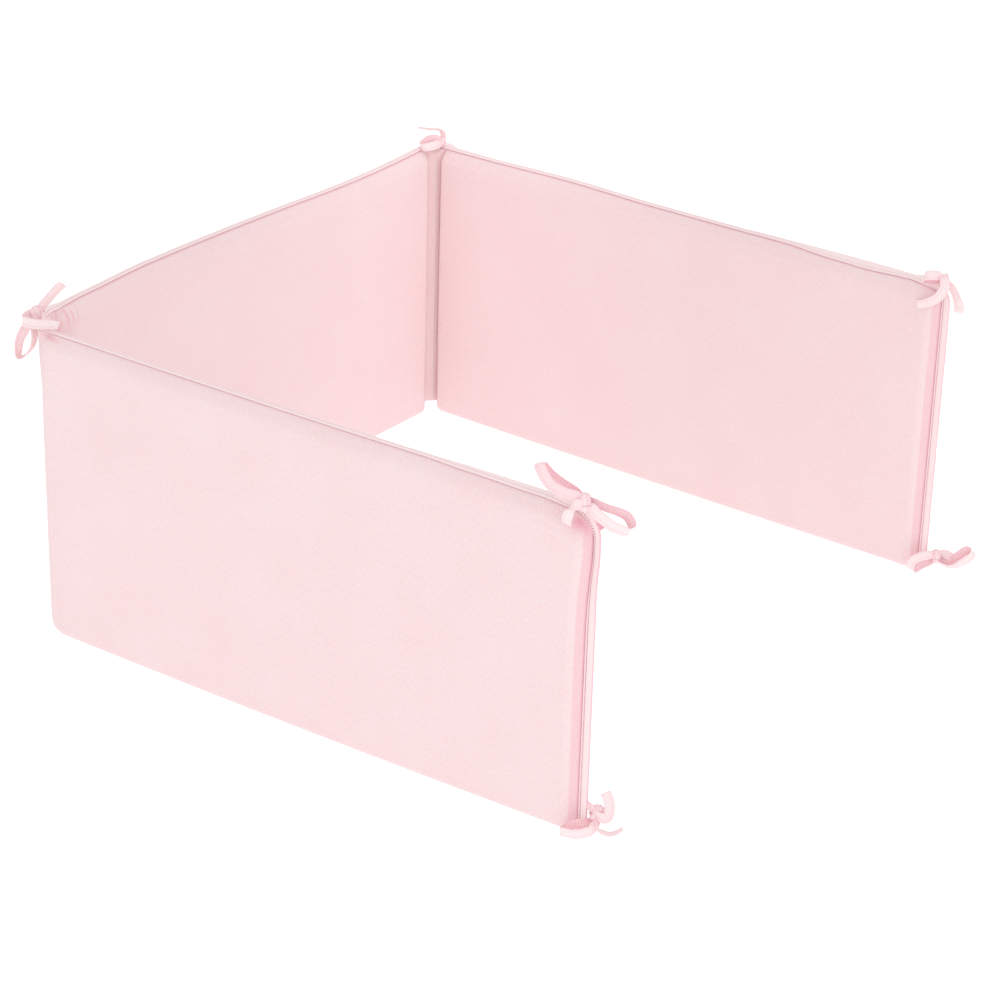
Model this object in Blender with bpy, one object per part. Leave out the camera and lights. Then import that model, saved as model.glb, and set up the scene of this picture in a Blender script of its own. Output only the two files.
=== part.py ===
"""Three-sided crib bumper: one padded jersey cover, its tape binding and six tied bows.

The cover is a single length of jersey with three foam pads in it. The two strips between
the pads hold no foam and fold round the corners of the cot, so the set stands up as a U.
A folded tape binds the top edge and both ends. The same tape makes the ties.

Metres, +Z up. Side A runs along X at low Y, head side B along Y at low X, side C along X
at high Y. The U is open towards +X. Plan positions are first measured from the corner
between A and B, and the whole set is then centred on its footprint.
"""

import math
from collections import namedtuple

import bmesh
import bpy
from mathutils import Vector

# Height and thickness
SEAM_Z = 0.2905        # height of the seam under the top binding
PAD_HALF = 0.0112      # half the thickness of a pad near its edges
CROWN = 0.0016         # how much further each face swells in the middle
SEAM_HALF = 0.0011     # half the thickness where the two layers are sewn together
HINGE_HALF = 0.0016    # the same in the unpadded strips, where the layers lie loose
HINGE_BULGE = 0.0035   # how far the outer layer puffs out round the back corner
PAD_ROUND = 0.012      # rounding of a pad towards its top and end seams
BASE_ROUND = 0.007     # rounding of the folded bottom edge, on both sides of a flat strip

# Binding and ties
GAP = 0.0003           # clearance between pieces that are sewn together
TAPE_WIDE = 0.0092     # width of the folded tape
TAPE_HALF = 0.0010     # half the thickness of the binding round the cloth's edge
TAPE_STEM = 0.0020     # the part of the binding that stands straight before it leans
BINDING_FOOT = 0.0040  # the binding stops this far above the floor
TIE_WIDE = 0.0090      # width of a tie
TIE_THICK = 0.0013     # thickness of a tie, which is two layers
ROOT_WIDE = 0.0050     # width of the stump between a knot and the binding, drawn together

# Middle of the footprint, from the corner between A and B
CENTRE = Vector((0.31895, 0.31764, 0.0))

# One row for each pad: where its middle plane starts and ends, how far it bows outwards and
# where along it that bow is fullest, how far its top seam sags and where, the rounding of
# its two top corners and that of its two bottom corners.
Pad = namedtuple("Pad", "start end bow fullest sag sag_at top_first top_last foot_first foot_last")
PADS = (
    Pad((0.6238, 0.0140), (0.0355, 0.0000), 0.0030, 0.50, 0.0020, 0.25, 0.030, 0.018, 0.008, 0.024),
    Pad((0.0033, 0.0490), (-0.0164, 0.6220), 0.0045, 0.37, 0.0042, 0.78, 0.016, 0.014, 0.018, 0.009),
    Pad((-0.0020, 0.6370), (0.5982, 0.6285), -0.0015, 0.45, 0.0010, 0.62, 0.014, 0.014, 0.009, 0.008),
)
HINGE_REACH = (0.004, 0.009)   # how far each corner strip runs on before it turns
HINGE_PULL = (0.0040, 0.0)     # how far its tie draws the top of each corner strip outwards

# How the top binding leans, in degrees towards the outside of the U. "pad" and "along"
# say where: pad 0 at 0.0 is the free end of side A.
Lean = namedtuple("Lean", "pad along degrees")
LEANS = (
    Lean(0, 0.00, 0),
    Lean(0, 0.08, -6),
    Lean(0, 0.35, -34),
    Lean(0, 0.96, -36),
    Lean(1, 0.02, -8),
    Lean(1, 0.14, 30),
    Lean(1, 0.60, 38),
    Lean(1, 0.97, 28),
    Lean(2, 0.05, 14),
    Lean(2, 0.26, 16),
    Lean(2, 0.42, 48),
    Lean(2, 0.90, 46),
    Lean(2, 1.00, 0),
)

# Gathers where a tie draws the cloth in: the pad, the side of the cloth (1 outside, -1
# inside), the first fold's distance from the pad's start, the folds' pitch, number and
# height, and how far down from the top they fade.
Gather = namedtuple("Gather", "pad side first pitch folds height fade")
GATHERS = (
    Gather(0, 1, 0.007, 0.0090, 2, 0.0012, 0.045),
    Gather(1, -1, 0.010, 0.0084, 6, 0.0012, 0.034),
    Gather(2, -1, 0.012, 0.0120, 2, 0.0008, 0.030),
)

# Each bow, in millimetres: its knot and the place where its tie is sewn to the binding, both
# from the corner between A and B, the knot's size to the right, up and near, and the
# direction in which the binding runs where the tie is sewn. Right, up and near are those of
# someone who stands before the open side of the set and looks into the corner between B
# and C. A loop or free end runs through its points, which are (right, up, near) from the
# knot. Its flat width points along wide_first at its start, wide_middle halfway and
# wide_last at its end.
VIEW_TURN = math.radians(36)
Bow = namedtuple("Bow", "name knot size sewn runs")
Tie = namedtuple("Tie", "bow wide_first wide_middle wide_last points")

BOWS = (
    Bow("bow_front_top", (621, 8, 302), (8.5, 13, 8), (620.5, 13.6, 292.2), (-3, 0, 2)),
    Bow("bow_front_bottom", (641.2, 16, 21), (9, 13, 8), (634.4, 14.2, 20), (0, 0, 1)),
    Bow("bow_corner_left", (7, 23, 300), (10, 12.5, 9), (10.5, 25.1, 295.4), (-5, 8, 0)),
    Bow("bow_corner_back", (-2, 632, 306), (7, 7, 6), (-6.6, 635.0, 297.6), (10, 3, 0)),
    Bow("bow_right_top", (601, 622, 304), (9, 7, 8), (597.3, 627.8, 297.5), (-7, 0, 4)),
    Bow("bow_right_bottom", (617, 629, 17), (8.5, 12.5, 8), (608.2, 628.5, 17), (0, 0, 1)),
)

TIES = (
    Tie("bow_front_top", (3, 9, -4), (10, 1, 0), (6, 7, -3), (
        (1, 0, 2), (-6, 6, 3), (-15, 10, 6), (-22, 14, 7), (-28, 18, 6), (-33, 25, 4),
        (-36, 31, 1), (-35, 31, -3), (-32, 26, -5), (-26, 19, -6), (-18, 13, -5), (-9, 8, -3),
        (-1, 3, -2))),
    Tie("bow_front_top", (5, 7, -4), (6, 8, 1), (5, 8, 5), (
        (-1, 0, 3), (6, -4, 3), (11, -9, 5), (17, -13, 6), (23, -18, 6), (30, -21, 5),
        (35, -23, 4), (39, -21, 0), (37, -17, -4), (34, -14, -6), (27, -11, -7), (19, -8, -6),
        (11, -4, -5), (0, 3, -3))),
    Tie("bow_front_top", (2, 9, -4), (6, 6, 0), (7, 0, 6), (
        (2, 1, 1), (-6, 3, 2), (-11, 1, 2), (-12, -6, 1), (-13, -14, 0), (-13, -20, -1))),
    Tie("bow_front_top", (5, 7, -3), (5, 7, -3), (5, 7, -3), (
        (-1, 0, -2), (5, -4, -7), (8, -14, -11), (12, -22, -12), (15, -30, -13))),
    Tie("bow_front_bottom", (-2, 9, -4), (0, 8, 2), (0, 9, -4), (
        (2, -4, 1), (-1, -8, 5), (-5, -12, 9), (-10, -13, 11), (-15, -14, 12), (-21, -14, 12),
        (-27, -13, 11), (-30, -14, 8), (-28, -14, 5), (-24, -12, 3), (-18, -10, 2),
        (-11, -11, 1), (-5, -10, -1), (0, -5, -2))),
    Tie("bow_front_bottom", (0, 9, -4), (-9, 1, 0), (-6, -6, 3), (
        (0, -2, 0), (5, -3, 2), (9, 2, 3), (10, 8, 3), (10, 15, 2), (6, 21, 1))),
    Tie("bow_front_bottom", (3, 0, 9), (0, 1, 9), (0, 2, 9), (
        (-1, -1, 1), (-1, -7, 5), (2, -11, 9), (8, -13, 11), (13, -13, 11), (18, -11, 10),
        (21, -9, 9))),
    Tie("bow_corner_left", (-7, 5, 4), (-7, 5, 4), (-7, 5, 4), (
        (0, 0, -1), (5, 7, -2), (11, 14, -3), (18, 22, -4), (23, 27, -4))),
    Tie("bow_corner_left", (1, 8, 2), (0, 7, -4), (0, 4, -8), (
        (0, 1, -2), (-6, -1, 0), (-11, -4, 3), (-12, -5, 8), (-6, -4, 15), (2, -1, 25),
        (10, 3, 36), (19, 6, 43), (26, 6, 44))),
    Tie("bow_corner_left", (8, 3, 2), (3, 1, -8), (5, 0, -7), (
        (-1, -1, 2), (-8, -10, 3), (-13, -18, 3), (-17, -27, 4), (-18, -35, 4), (-18, -41, 4),
        (-15, -42, 4), (-10, -39, 2), (-5, -32, 1), (-3, -23, 1), (-3, -15, 0), (0, -2, -2))),
    Tie("bow_corner_back", (-2, 8, -3), (-4, 8, 1), (-4, 7, -1), (
        (-1, 1, -2), (-6, 3, 2), (-14, 3, 6), (-18, 1, 9), (-21, -1, 11), (-21.5, -2, 14),
        (-18, -2, 16), (-12, -1, 15), (-6, -1, 9), (0, -1, 2))),
    Tie("bow_corner_back", (8, 0, 3), (5, 3, 7), (0, 4, 8), (
        (0, 0, -1), (0, 2, -3), (0, 7, -4), (-4, 11, -4), (-14, 11, -5), (-26, 12, -6))),
    Tie("bow_right_top", (0, 9, -2), (3, 8, -3), (0, 9, -2), (
        (0, 1, 2), (-6, 5, 2), (-13, 5, 1), (-17, 3, -2), (-18, -1, -6), (-14, -2, -7),
        (-7, -2, -5), (0, -1, -2))),
    Tie("bow_right_top", (9, -2, 2), (7, -5, 5), (5, -8, 3), (
        (0, 1, 1), (2, -3, 3), (0, -10, 3), (-4, -17, 1), (-11, -22, -1), (-17, -26, -4),
        (-22, -28, -8))),
    Tie("bow_right_top", (7, 4, 4), (6, 0, 5), (9, -2, 0), (
        (1, 0, 0), (7, -6, -2), (12, -13, -2), (15, -20, -1), (17, -27, 0), (16, -32, 1))),
    Tie("bow_right_bottom", (0, 9, -3), (-8, 4, -2), (-3, 7, -3), (
        (0, 1, 2), (-8, 3, 4), (-16, 3, 8), (-23, 0, 10), (-26, -5, 11), (-24, -10, 10),
        (-19, -9, 7), (-14, -7, 4), (-7, -5, 1), (0, -1, -2))),
    Tie("bow_right_bottom", (0, 5, 8), (-5, 6, 1), (-3, 8, -4), (
        (0, -3, 2), (6, -6, 4), (12, -8, 5), (18, -7, 6), (25, -4, 5), (31, 0, 4), (35, 4, 2),
        (34, 7, -1), (29, 5, -3), (23, 0, -3), (15, -5, -2), (8, -5, -1), (0, 0, -2))),
    Tie("bow_right_bottom", (0, 9, -3), (0, 9, -3), (5, 6, -3), (
        (1, 2, 0), (7, 2, -2), (13, -1, -3), (17, -5, -3))),
)

TIE_STEPS = 2          # steps along a tie between two of its points


# ---------------------------------------------------------------- the middle line in plan

def hump(along, fullest):
    """0 at both ends and 1 where fullest says."""
    inside = min(max(along, 0.0), 1.0)
    return math.sin(math.pi * inside ** (math.log(0.5) / math.log(fullest)))


def pad_point(pad, along):
    """A point of a pad's middle line in plan, along being 0 to 1, or a little beyond."""
    start, end = Vector(pad.start), Vector(pad.end)
    run = end - start
    outwards = Vector((-run.y, run.x)).normalized()
    return start + run * along + outwards * pad.bow * hump(along, pad.fullest)


def pad_length(pad):
    return (Vector(pad.end) - Vector(pad.start)).length


def pad_heading(pad, along):
    step = 0.001
    ahead = pad_point(pad, min(along + step, 1.0))
    behind = pad_point(pad, max(along - step, 0.0))
    return (ahead - behind).normalized()


def hinge_point(corner, along):
    """A point of the unpadded strip that turns the corner between two pads."""
    first, last = PADS[corner], PADS[corner + 1]
    reach = HINGE_REACH[corner]
    p0 = pad_point(first, 1.0)
    p3 = pad_point(last, 0.0)
    p1 = p0 + pad_heading(first, 1.0) * reach
    p2 = p3 - pad_heading(last, 0.0) * reach
    rest = 1.0 - along
    return rest ** 3 * p0 + 3 * rest ** 2 * along * p1 + 3 * rest * along ** 2 * p2 + along ** 3 * p3


def hinge_heading(corner, along):
    step = 0.01
    ahead = hinge_point(corner, min(along + step, 1.0))
    behind = hinge_point(corner, max(along - step, 0.0))
    return (ahead - behind).normalized()


# A place on the middle line: its point, the direction along the cloth, the direction out
# of the U, the pad it belongs to (or the corner, for a hinge) and how far along that it is.
Place = namedtuple("Place", "point ahead outwards pad corner along")


def pad_place(index, along):
    pad = PADS[index]
    point = pad_point(pad, along)
    ahead = pad_heading(pad, along)
    return Place(Vector((*point, 0)), Vector((*ahead, 0)), Vector((-ahead.y, ahead.x, 0)),
                 index, None, along)


def hinge_place(corner, along):
    point = hinge_point(corner, along)
    ahead = hinge_heading(corner, along)
    return Place(Vector((*point, 0)), Vector((*ahead, 0)), Vector((-ahead.y, ahead.x, 0)),
                 None, corner, along)


def smooth(x):
    x = min(max(x, 0.0), 1.0)
    return x * x * (3 - 2 * x)


def seam_height(place):
    """Height of the top seam: a slight sag between the corners, which the ties hold up."""
    if place.pad is None:
        return SEAM_Z
    pad = PADS[place.pad]
    return SEAM_Z - pad.sag * hump(place.along, pad.sag_at)


# ---------------------------------------------------------------- the padded cover

COVER_FACE_ROWS = (0.06, 0.22, 0.42, 0.62, 0.78, 0.90)   # rows of points up each face
END_STEPS = 6
SPAN_STEPS = 10
HINGE_STEPS = 7


def quarter(share):
    """Height of a quarter circle of radius 1 at this share of its run."""
    share = min(max(share, 0.0), 1.0)
    return math.sqrt(1 - (1 - share) ** 2)


def pad_stations(index):
    """Shares along a pad at which the cover gets a cross section."""
    pad = PADS[index]
    length = pad_length(pad)
    near_start = {PAD_ROUND * (1 - math.cos(math.pi / 2 * i / END_STEPS)) for i in range(END_STEPS + 1)}
    near_end = {length - distance for distance in near_start}
    for reach in (pad.foot_first, pad.top_first):
        near_start |= {reach * share for share in (0.7, 1.0) if reach * share > PAD_ROUND + 0.0005}
    for reach in (pad.foot_last, pad.top_last):
        near_end |= {length - reach * share for share in (0.7, 1.0) if reach * share > PAD_ROUND + 0.0005}
    for g in GATHERS:
        if g.pad == index:
            clear = max(near_start)
            folded = {g.first + g.pitch * i / 4 for i in range(4 * g.folds + 1)}
            near_start |= {distance for distance in folded if distance > clear + 0.0005}
    first, last = max(near_start), min(near_end)
    span = {first + (last - first) * i / SPAN_STEPS for i in range(1, SPAN_STEPS)}
    return [distance / length for distance in sorted(near_start | span | near_end)]


def gathered(place, side, height, top):
    """How far the gathers push this face out at a point of it."""
    push = 0.0
    for g in GATHERS:
        if g.pad != place.pad or g.side != side:
            continue
        distance = place.along * pad_length(PADS[g.pad]) - g.first
        run = g.pitch * g.folds
        if 0 < distance < run:
            fade = math.exp(-(top - height) / g.fade)
            swell = math.sin(math.pi * distance / run)
            push += g.height * fade * swell * math.sin(2 * math.pi * distance / g.pitch)
    return push


def filling(pad, from_start, from_end, below_top):
    """How full the foam leaves the cover here: 0 outside the pad's outline, 1 well inside."""
    if from_start < from_end:
        from_side, corner = from_start, pad.top_first
    else:
        from_side, corner = from_end, pad.top_last
    if from_side < corner and below_top < corner:
        inside = corner - math.hypot(corner - from_side, corner - below_top)
    else:
        inside = min(from_side, below_top)
    return quarter(inside / PAD_ROUND)


def rounded_off(distance, radius):
    """How far a rounded corner has drawn back from the square one at this distance."""
    return radius * (1 - quarter(distance / radius)) if distance < radius else 0.0


def section(place):
    """The closed cross section of the cover at a place, as (out, height) pairs."""
    top = full_top = seam_height(place)
    edge = HINGE_HALF
    puff = crown = foot = 0.0
    if place.pad is None:
        first, last = PADS[place.corner].foot_last, PADS[place.corner + 1].foot_first
        foot = first + (last - first) * smooth(place.along)
        puff = HINGE_BULGE * place.corner * math.sin(math.pi * place.along)
    else:
        pad = PADS[place.pad]
        length = pad_length(pad)
        from_start = place.along * length
        from_end = length - from_start
        foot = rounded_off(from_start, pad.foot_first) + rounded_off(from_end, pad.foot_last)
        crown = CROWN * min(quarter(from_start / 0.06), quarter(from_end / 0.06))
        if place.pad == 0:
            top -= rounded_off(from_start, pad.top_first)
        if place.pad == len(PADS) - 1:
            top -= rounded_off(from_end, pad.top_last)
        if min(from_start, from_end) == (from_start if place.pad == 0 else from_end):
            edge = SEAM_HALF if place.pad != 1 else HINGE_HALF

    def half(height):
        near_top = quarter((top - height) / PAD_ROUND)
        base = SEAM_HALF + (edge - SEAM_HALF) * near_top
        if place.pad is None:
            return base
        return base + (PAD_HALF - base) * filling(pad, from_start, from_end, full_top - height)

    sides = {}
    for side in (1, -1):
        extra = puff if side == 1 else 0.0
        at_foot = half(foot + BASE_ROUND) + extra
        round_foot = min(BASE_ROUND, 0.65 * at_foot)
        points = []
        for i in range(5):
            turn = math.radians(-90 + 22.5 * i)
            points.append((at_foot - round_foot + round_foot * math.cos(turn),
                           foot + round_foot * (1 + math.sin(turn))))
        low, high = foot + round_foot, top - PAD_ROUND
        for row in COVER_FACE_ROWS:
            height = low + (high - low) * row
            swell = crown * math.sin(math.pi * row)
            points.append((half(height) + extra + swell + gathered(place, side, height, top), height))
        for i in range(6):
            turn = math.radians(18 * i)
            height = high + PAD_ROUND * math.sin(turn)
            loose = (extra + gathered(place, side, height, top)) * math.cos(turn)
            points.append((half(height) + loose, height))
        sides[side] = [(side * out, height) for out, height in points]
    return sides[1] + sides[-1][::-1]


def cover_places():
    places = []
    for index in range(len(PADS)):
        places += [pad_place(index, along) for along in pad_stations(index)]
        if index < len(PADS) - 1:
            places += [hinge_place(index, i / HINGE_STEPS) for i in range(1, HINGE_STEPS)]
    return places


def in_space(place, out, height):
    """A point at this height and this far out from the middle line."""
    if place.pad is None:
        pulled = smooth((height - 0.22) / (SEAM_Z - 0.22))
        out += HINGE_PULL[place.corner] * math.sin(math.pi * place.along) * pulled
    return place.point + place.outwards * out + Vector((0, 0, height)) - CENTRE


def make_cover():
    """The jersey cover over its three pads, one closed padded body."""
    mesh = bmesh.new()
    rings = []
    for place in cover_places():
        rings.append([mesh.verts.new(in_space(place, out, height)) for out, height in section(place)])
    skin(mesh, rings)
    return finished("cover", mesh, JERSEY)


# ---------------------------------------------------------------- the binding

BEND_STEPS = 8
BINDING_ROWS = (BINDING_FOOT, 0.05, 0.10, 0.15, 0.20)   # heights of its sections up each end


def leaning(place):
    """The top binding's lean at a place, read between the rows of LEANS."""
    def order(pad, along):
        return pad + along
    if place.pad is None:
        at = order(place.corner + 1, 0.0) - 0.02 + 0.04 * place.along
    else:
        at = order(place.pad, min(max(place.along, 0.0), 1.0))
    for before, after in zip(LEANS, LEANS[1:]):
        low, high = order(before.pad, before.along), order(after.pad, after.along)
        if low <= at <= high:
            share = smooth((at - low) / max(high - low, 1e-6))
            return math.radians(before.degrees + (after.degrees - before.degrees) * share)
    return 0.0


def binding_section(origin, rise, outwards, lean):
    """The tape's cross section: a short stem, then the leaning band with a rounded fold."""
    def at(along_rise, along_out):
        return origin + rise * along_rise + outwards * along_out
    tilt_rise = rise * math.cos(lean) + outwards * math.sin(lean)
    tilt_out = outwards * math.cos(lean) - rise * math.sin(lean)
    bend_out = (outwards + tilt_out).normalized()
    neck = at(GAP + TAPE_STEM, 0)
    tip = neck + tilt_rise * (TAPE_WIDE - TAPE_STEM)
    shoulder = tip - tilt_rise * TAPE_HALF
    return [
        at(GAP, TAPE_HALF),
        neck + bend_out * TAPE_HALF,
        shoulder + tilt_out * TAPE_HALF,
        tip + tilt_out * TAPE_HALF * 0.4,
        tip - tilt_out * TAPE_HALF * 0.4,
        shoulder - tilt_out * TAPE_HALF,
        neck - bend_out * TAPE_HALF,
        at(GAP, -TAPE_HALF),
    ]


def end_sections(index, along):
    """The binding's sections up a free end and round its top corner, from the floor up."""
    place = pad_place(index, along)
    beyond = place.ahead if along == 1.0 else -place.ahead
    radius = PADS[index].top_last if along == 1.0 else PADS[index].top_first
    up = Vector((0, 0, 1))
    bend = seam_height(place) - radius
    sections = []
    for height in (*BINDING_ROWS, bend):
        origin = place.point + up * height - CENTRE
        sections.append(binding_section(origin, beyond, place.outwards, 0.0))
    centre = place.point - beyond * radius + up * bend - CENTRE
    step = math.radians(90 / BEND_STEPS)
    clear = radius / math.cos(step / 2)
    for i in range(1, BEND_STEPS):
        rise = beyond * math.cos(step * i) + up * math.sin(step * i)
        sections.append(binding_section(centre + rise * clear, rise, place.outwards, 0.0))
    return sections


def make_binding():
    """The folded tape along the top and down both ends, sewn on as one length."""
    up = Vector((0, 0, 1))
    last = len(PADS) - 1
    sections = end_sections(0, 0.0)
    for index, pad in enumerate(PADS):
        start = pad.top_first / pad_length(pad) if index == 0 else 0.0
        stop = 1.0 - pad.top_last / pad_length(pad) if index == last else 1.0
        stations = [along for along in pad_stations(index) if start - 1e-6 < along < stop + 1e-6]
        places = [pad_place(index, along) for along in stations]
        if index < last:
            places += [hinge_place(index, i / HINGE_STEPS) for i in range(1, HINGE_STEPS)]
        for place in places:
            origin = in_space(place, 0.0, seam_height(place))
            sections.append(binding_section(origin, up, place.outwards, leaning(place)))
    sections += end_sections(last, 1.0)[::-1]
    mesh = bmesh.new()
    rings = [[mesh.verts.new(point) for point in ring] for ring in sections]
    skin(mesh, rings)
    return finished("binding", mesh, TAPE)


# ---------------------------------------------------------------- the tied bows

RIGHT = Vector((math.cos(VIEW_TURN), math.sin(VIEW_TURN), 0))
NEAR = Vector((math.sin(VIEW_TURN), -math.cos(VIEW_TURN), 0))


def seen(offset):
    """A (right, up, near) offset in millimetres as a vector in metres."""
    right, up, near = offset
    return (RIGHT * right + Vector((0, 0, up)) + NEAR * near) / 1000


def eased(points, steps):
    """Points of a smooth curve through the given ones, Catmull-Rom."""
    padded = [points[0] * 2 - points[1], *points, points[-1] * 2 - points[-2]]
    path = []
    for a, b, c, d in zip(padded, padded[1:], padded[2:], padded[3:]):
        for i in range(steps):
            t = i / steps
            path.append(0.5 * (2 * b + (c - a) * t + (2 * a - 5 * b + 4 * c - d) * t ** 2
                               + (3 * b - a - 3 * c + d) * t ** 3))
    return [*path, points[-1]]


def make_strand(path, wides, width):
    """A flat tape along a path, as a closed mesh. Its width turns from one of wides to the next."""
    mesh = bmesh.new()
    rings = []
    for i, point in enumerate(path):
        ahead = (path[min(i + 1, len(path) - 1)] - path[max(i - 1, 0)]).normalized()
        at = (len(wides) - 1) * i / (len(path) - 1)
        before = min(int(at), len(wides) - 2)
        wide = wides[before].lerp(wides[before + 1], at - before)
        wide = (wide - ahead * wide.dot(ahead)).normalized()
        thick = ahead.cross(wide) * TIE_THICK / 2
        wide *= width / 2
        corners = (wide + thick, wide - thick, -wide - thick, -wide + thick)
        rings.append([mesh.verts.new(point + corner) for corner in corners])
    skin(mesh, rings)
    bmesh.ops.triangulate(mesh, faces=mesh.faces)
    data = bpy.data.meshes.new("strand")
    mesh.to_mesh(data)
    mesh.free()
    return data


def squared(x):
    """Pushes a coordinate of a unit ball outwards, towards a rounded block."""
    return math.copysign(abs(x) ** 0.75, x)


def make_knot(centre, size):
    """The pulled-tight knot, a small rounded block of wound tape."""
    mesh = bmesh.new()
    bmesh.ops.create_icosphere(mesh, subdivisions=2, radius=1)
    for vertex in mesh.verts:
        vertex.co = centre + seen([squared(x) * s / 2 for x, s in zip(vertex.co, size)])
    bmesh.ops.recalc_face_normals(mesh, faces=mesh.faces)
    data = bpy.data.meshes.new("knot")
    mesh.to_mesh(data)
    mesh.free()
    return data


def make_bow(bow):
    """One bow: its knot, its loops and free ends, and the stump sewn to the binding."""
    knot = Vector(bow.knot) / 1000 - CENTRE
    sewn = Vector(bow.sewn) / 1000 - CENTRE
    body = bpy.data.objects.new(bow.name, make_knot(knot, bow.size))
    bpy.context.scene.collection.objects.link(body)
    strands = []
    for tie in TIES:
        if tie.bow == bow.name:
            path = eased([knot + seen(point) for point in tie.points], TIE_STEPS)
            wides = [seen(wide) for wide in (tie.wide_first, tie.wide_middle, tie.wide_last)]
            strands.append(make_strand(path, wides, TIE_WIDE))
    runs = Vector(bow.runs)
    strands.append(make_strand([knot.lerp(sewn, 0.1), sewn], [runs, runs], ROOT_WIDE))
    for data in strands:
        cutter = bpy.data.objects.new(bow.name + "_strand", data)
        bpy.context.scene.collection.objects.link(cutter)
        cutter.hide_render = True
        cutter.display_type = "WIRE"
        union = body.modifiers.new("union", "BOOLEAN")
        union.operation = "UNION"
        union.solver = "EXACT"
        union.use_self = True
        union.object = cutter
    body.data.materials.append(material(bow.name + "_tape", *TAPE))
    return body


# ---------------------------------------------------------------- shared mesh work

JERSEY = ((0.93, 0.71, 0.74), 0.95)
TAPE = ((0.94, 0.72, 0.74), 0.85)


def skin(mesh, rings):
    """Joins a row of rings into a closed tube with flat ends."""
    count = len(rings[0])
    for first, last in zip(rings, rings[1:]):
        for i in range(count):
            j = (i + 1) % count
            mesh.faces.new((first[i], first[j], last[j], last[i]))
    mesh.faces.new(rings[0])
    mesh.faces.new(rings[-1][::-1])
    bmesh.ops.recalc_face_normals(mesh, faces=mesh.faces)


def material(name, colour, roughness):
    made = bpy.data.materials.new(name)
    made.use_nodes = True
    shader = made.node_tree.nodes["Principled BSDF"]
    shader.inputs["Base Color"].default_value = (*colour, 1)
    shader.inputs["Roughness"].default_value = roughness
    shader.inputs["Metallic"].default_value = 0
    made.diffuse_color = (*colour, 1)
    return made


def finished(name, mesh, look):
    data = bpy.data.meshes.new(name)
    mesh.to_mesh(data)
    mesh.free()
    data.shade_smooth()
    data.set_sharp_from_angle(angle=math.radians(50))
    data.materials.append(material(name + "_cloth", *look))
    made = bpy.data.objects.new(name, data)
    bpy.context.scene.collection.objects.link(made)
    return made


for old in list(bpy.data.objects):
    bpy.data.objects.remove(old)
make_cover()
make_binding()
for bow in BOWS:
    make_bow(bow)
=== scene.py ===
import math
from collections import namedtuple

import bmesh
import bpy
import numpy as np
from mathutils import Matrix, Vector, noise


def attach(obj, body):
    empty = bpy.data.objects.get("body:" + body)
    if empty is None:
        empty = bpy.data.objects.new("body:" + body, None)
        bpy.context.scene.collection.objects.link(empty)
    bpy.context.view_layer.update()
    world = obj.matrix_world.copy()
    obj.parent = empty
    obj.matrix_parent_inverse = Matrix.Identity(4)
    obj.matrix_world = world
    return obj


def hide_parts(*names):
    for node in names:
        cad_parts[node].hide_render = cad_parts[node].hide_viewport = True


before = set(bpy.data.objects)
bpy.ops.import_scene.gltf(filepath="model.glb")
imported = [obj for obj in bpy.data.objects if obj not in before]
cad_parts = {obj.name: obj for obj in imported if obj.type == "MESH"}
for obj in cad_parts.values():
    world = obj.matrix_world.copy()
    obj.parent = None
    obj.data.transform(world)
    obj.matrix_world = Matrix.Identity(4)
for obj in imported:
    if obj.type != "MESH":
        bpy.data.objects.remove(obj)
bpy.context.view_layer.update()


# ======== The view
# It stands before the open side of the U, well above it, and looks into the corner between
# the head side and the back side, as the photograph does. A long lens keeps the sides calm.

SET_MIDDLE = Vector((0.31895, 0.31764, 0.0))   # of the footprint, from the corner of A and B
EYE_FROM_CORNER = Vector((1.8488, -1.7952, 1.3263))
VIEW_TURN = math.radians(36)
VIEW_DOWN = math.radians(25.167)
VIEW_ROLL = math.radians(1.606)
LENS_MM = 109.8
UP = Vector((0, 0, 1))

view_right = Vector((math.cos(VIEW_TURN), math.sin(VIEW_TURN), 0))
view_near = Vector((math.sin(VIEW_TURN), -math.cos(VIEW_TURN), 0))
sight = -view_near * math.cos(VIEW_DOWN) - UP * math.sin(VIEW_DOWN)
level_up = view_right.cross(sight)
rolled_right = view_right * math.cos(VIEW_ROLL) + level_up * math.sin(VIEW_ROLL)
rolled_up = level_up * math.cos(VIEW_ROLL) - view_right * math.sin(VIEW_ROLL)


def in_scene(name, data):
    """A new object in the scene."""
    made = bpy.data.objects.new(name, data)
    bpy.context.scene.collection.objects.link(made)
    return made


camera_data = bpy.data.cameras.new("photo_view")
camera_data.lens = LENS_MM
camera_data.sensor_width = 36
camera_data.clip_end = 60
camera = in_scene("photo_view", camera_data)
camera.matrix_world = Matrix((
    (rolled_right.x, rolled_up.x, -sight.x, 0),
    (rolled_right.y, rolled_up.y, -sight.y, 0),
    (rolled_right.z, rolled_up.z, -sight.z, 0),
    (0, 0, 0, 1),
))
camera.location = EYE_FROM_CORNER - SET_MIDDLE
bpy.context.scene.camera = camera


# ======== The studio
# A white floor and white surroundings, with no horizon in the photo's view. Broad, weak lamps
# stand above the camera, to the left, before the open side and overhead, and a spot lights the
# back corner.

def lamp(name, place, towards, size, watts, colour, cone=None):
    """A soft lamp: a square one, or a round one with a soft cone of so many degrees."""
    data = bpy.data.lights.new(name, "SPOT" if cone else "AREA")
    if cone:
        data.spot_size = math.radians(cone)
        data.spot_blend = 1.0
        data.shadow_soft_size = size / 2
    else:
        data.shape = "SQUARE"
        data.size = size
    data.energy = watts
    data.color = colour
    made = in_scene(name, data)
    made.location = place
    made.rotation_euler = (Vector(towards) - Vector(place)).to_track_quat("-Z", "Y").to_euler()


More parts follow.
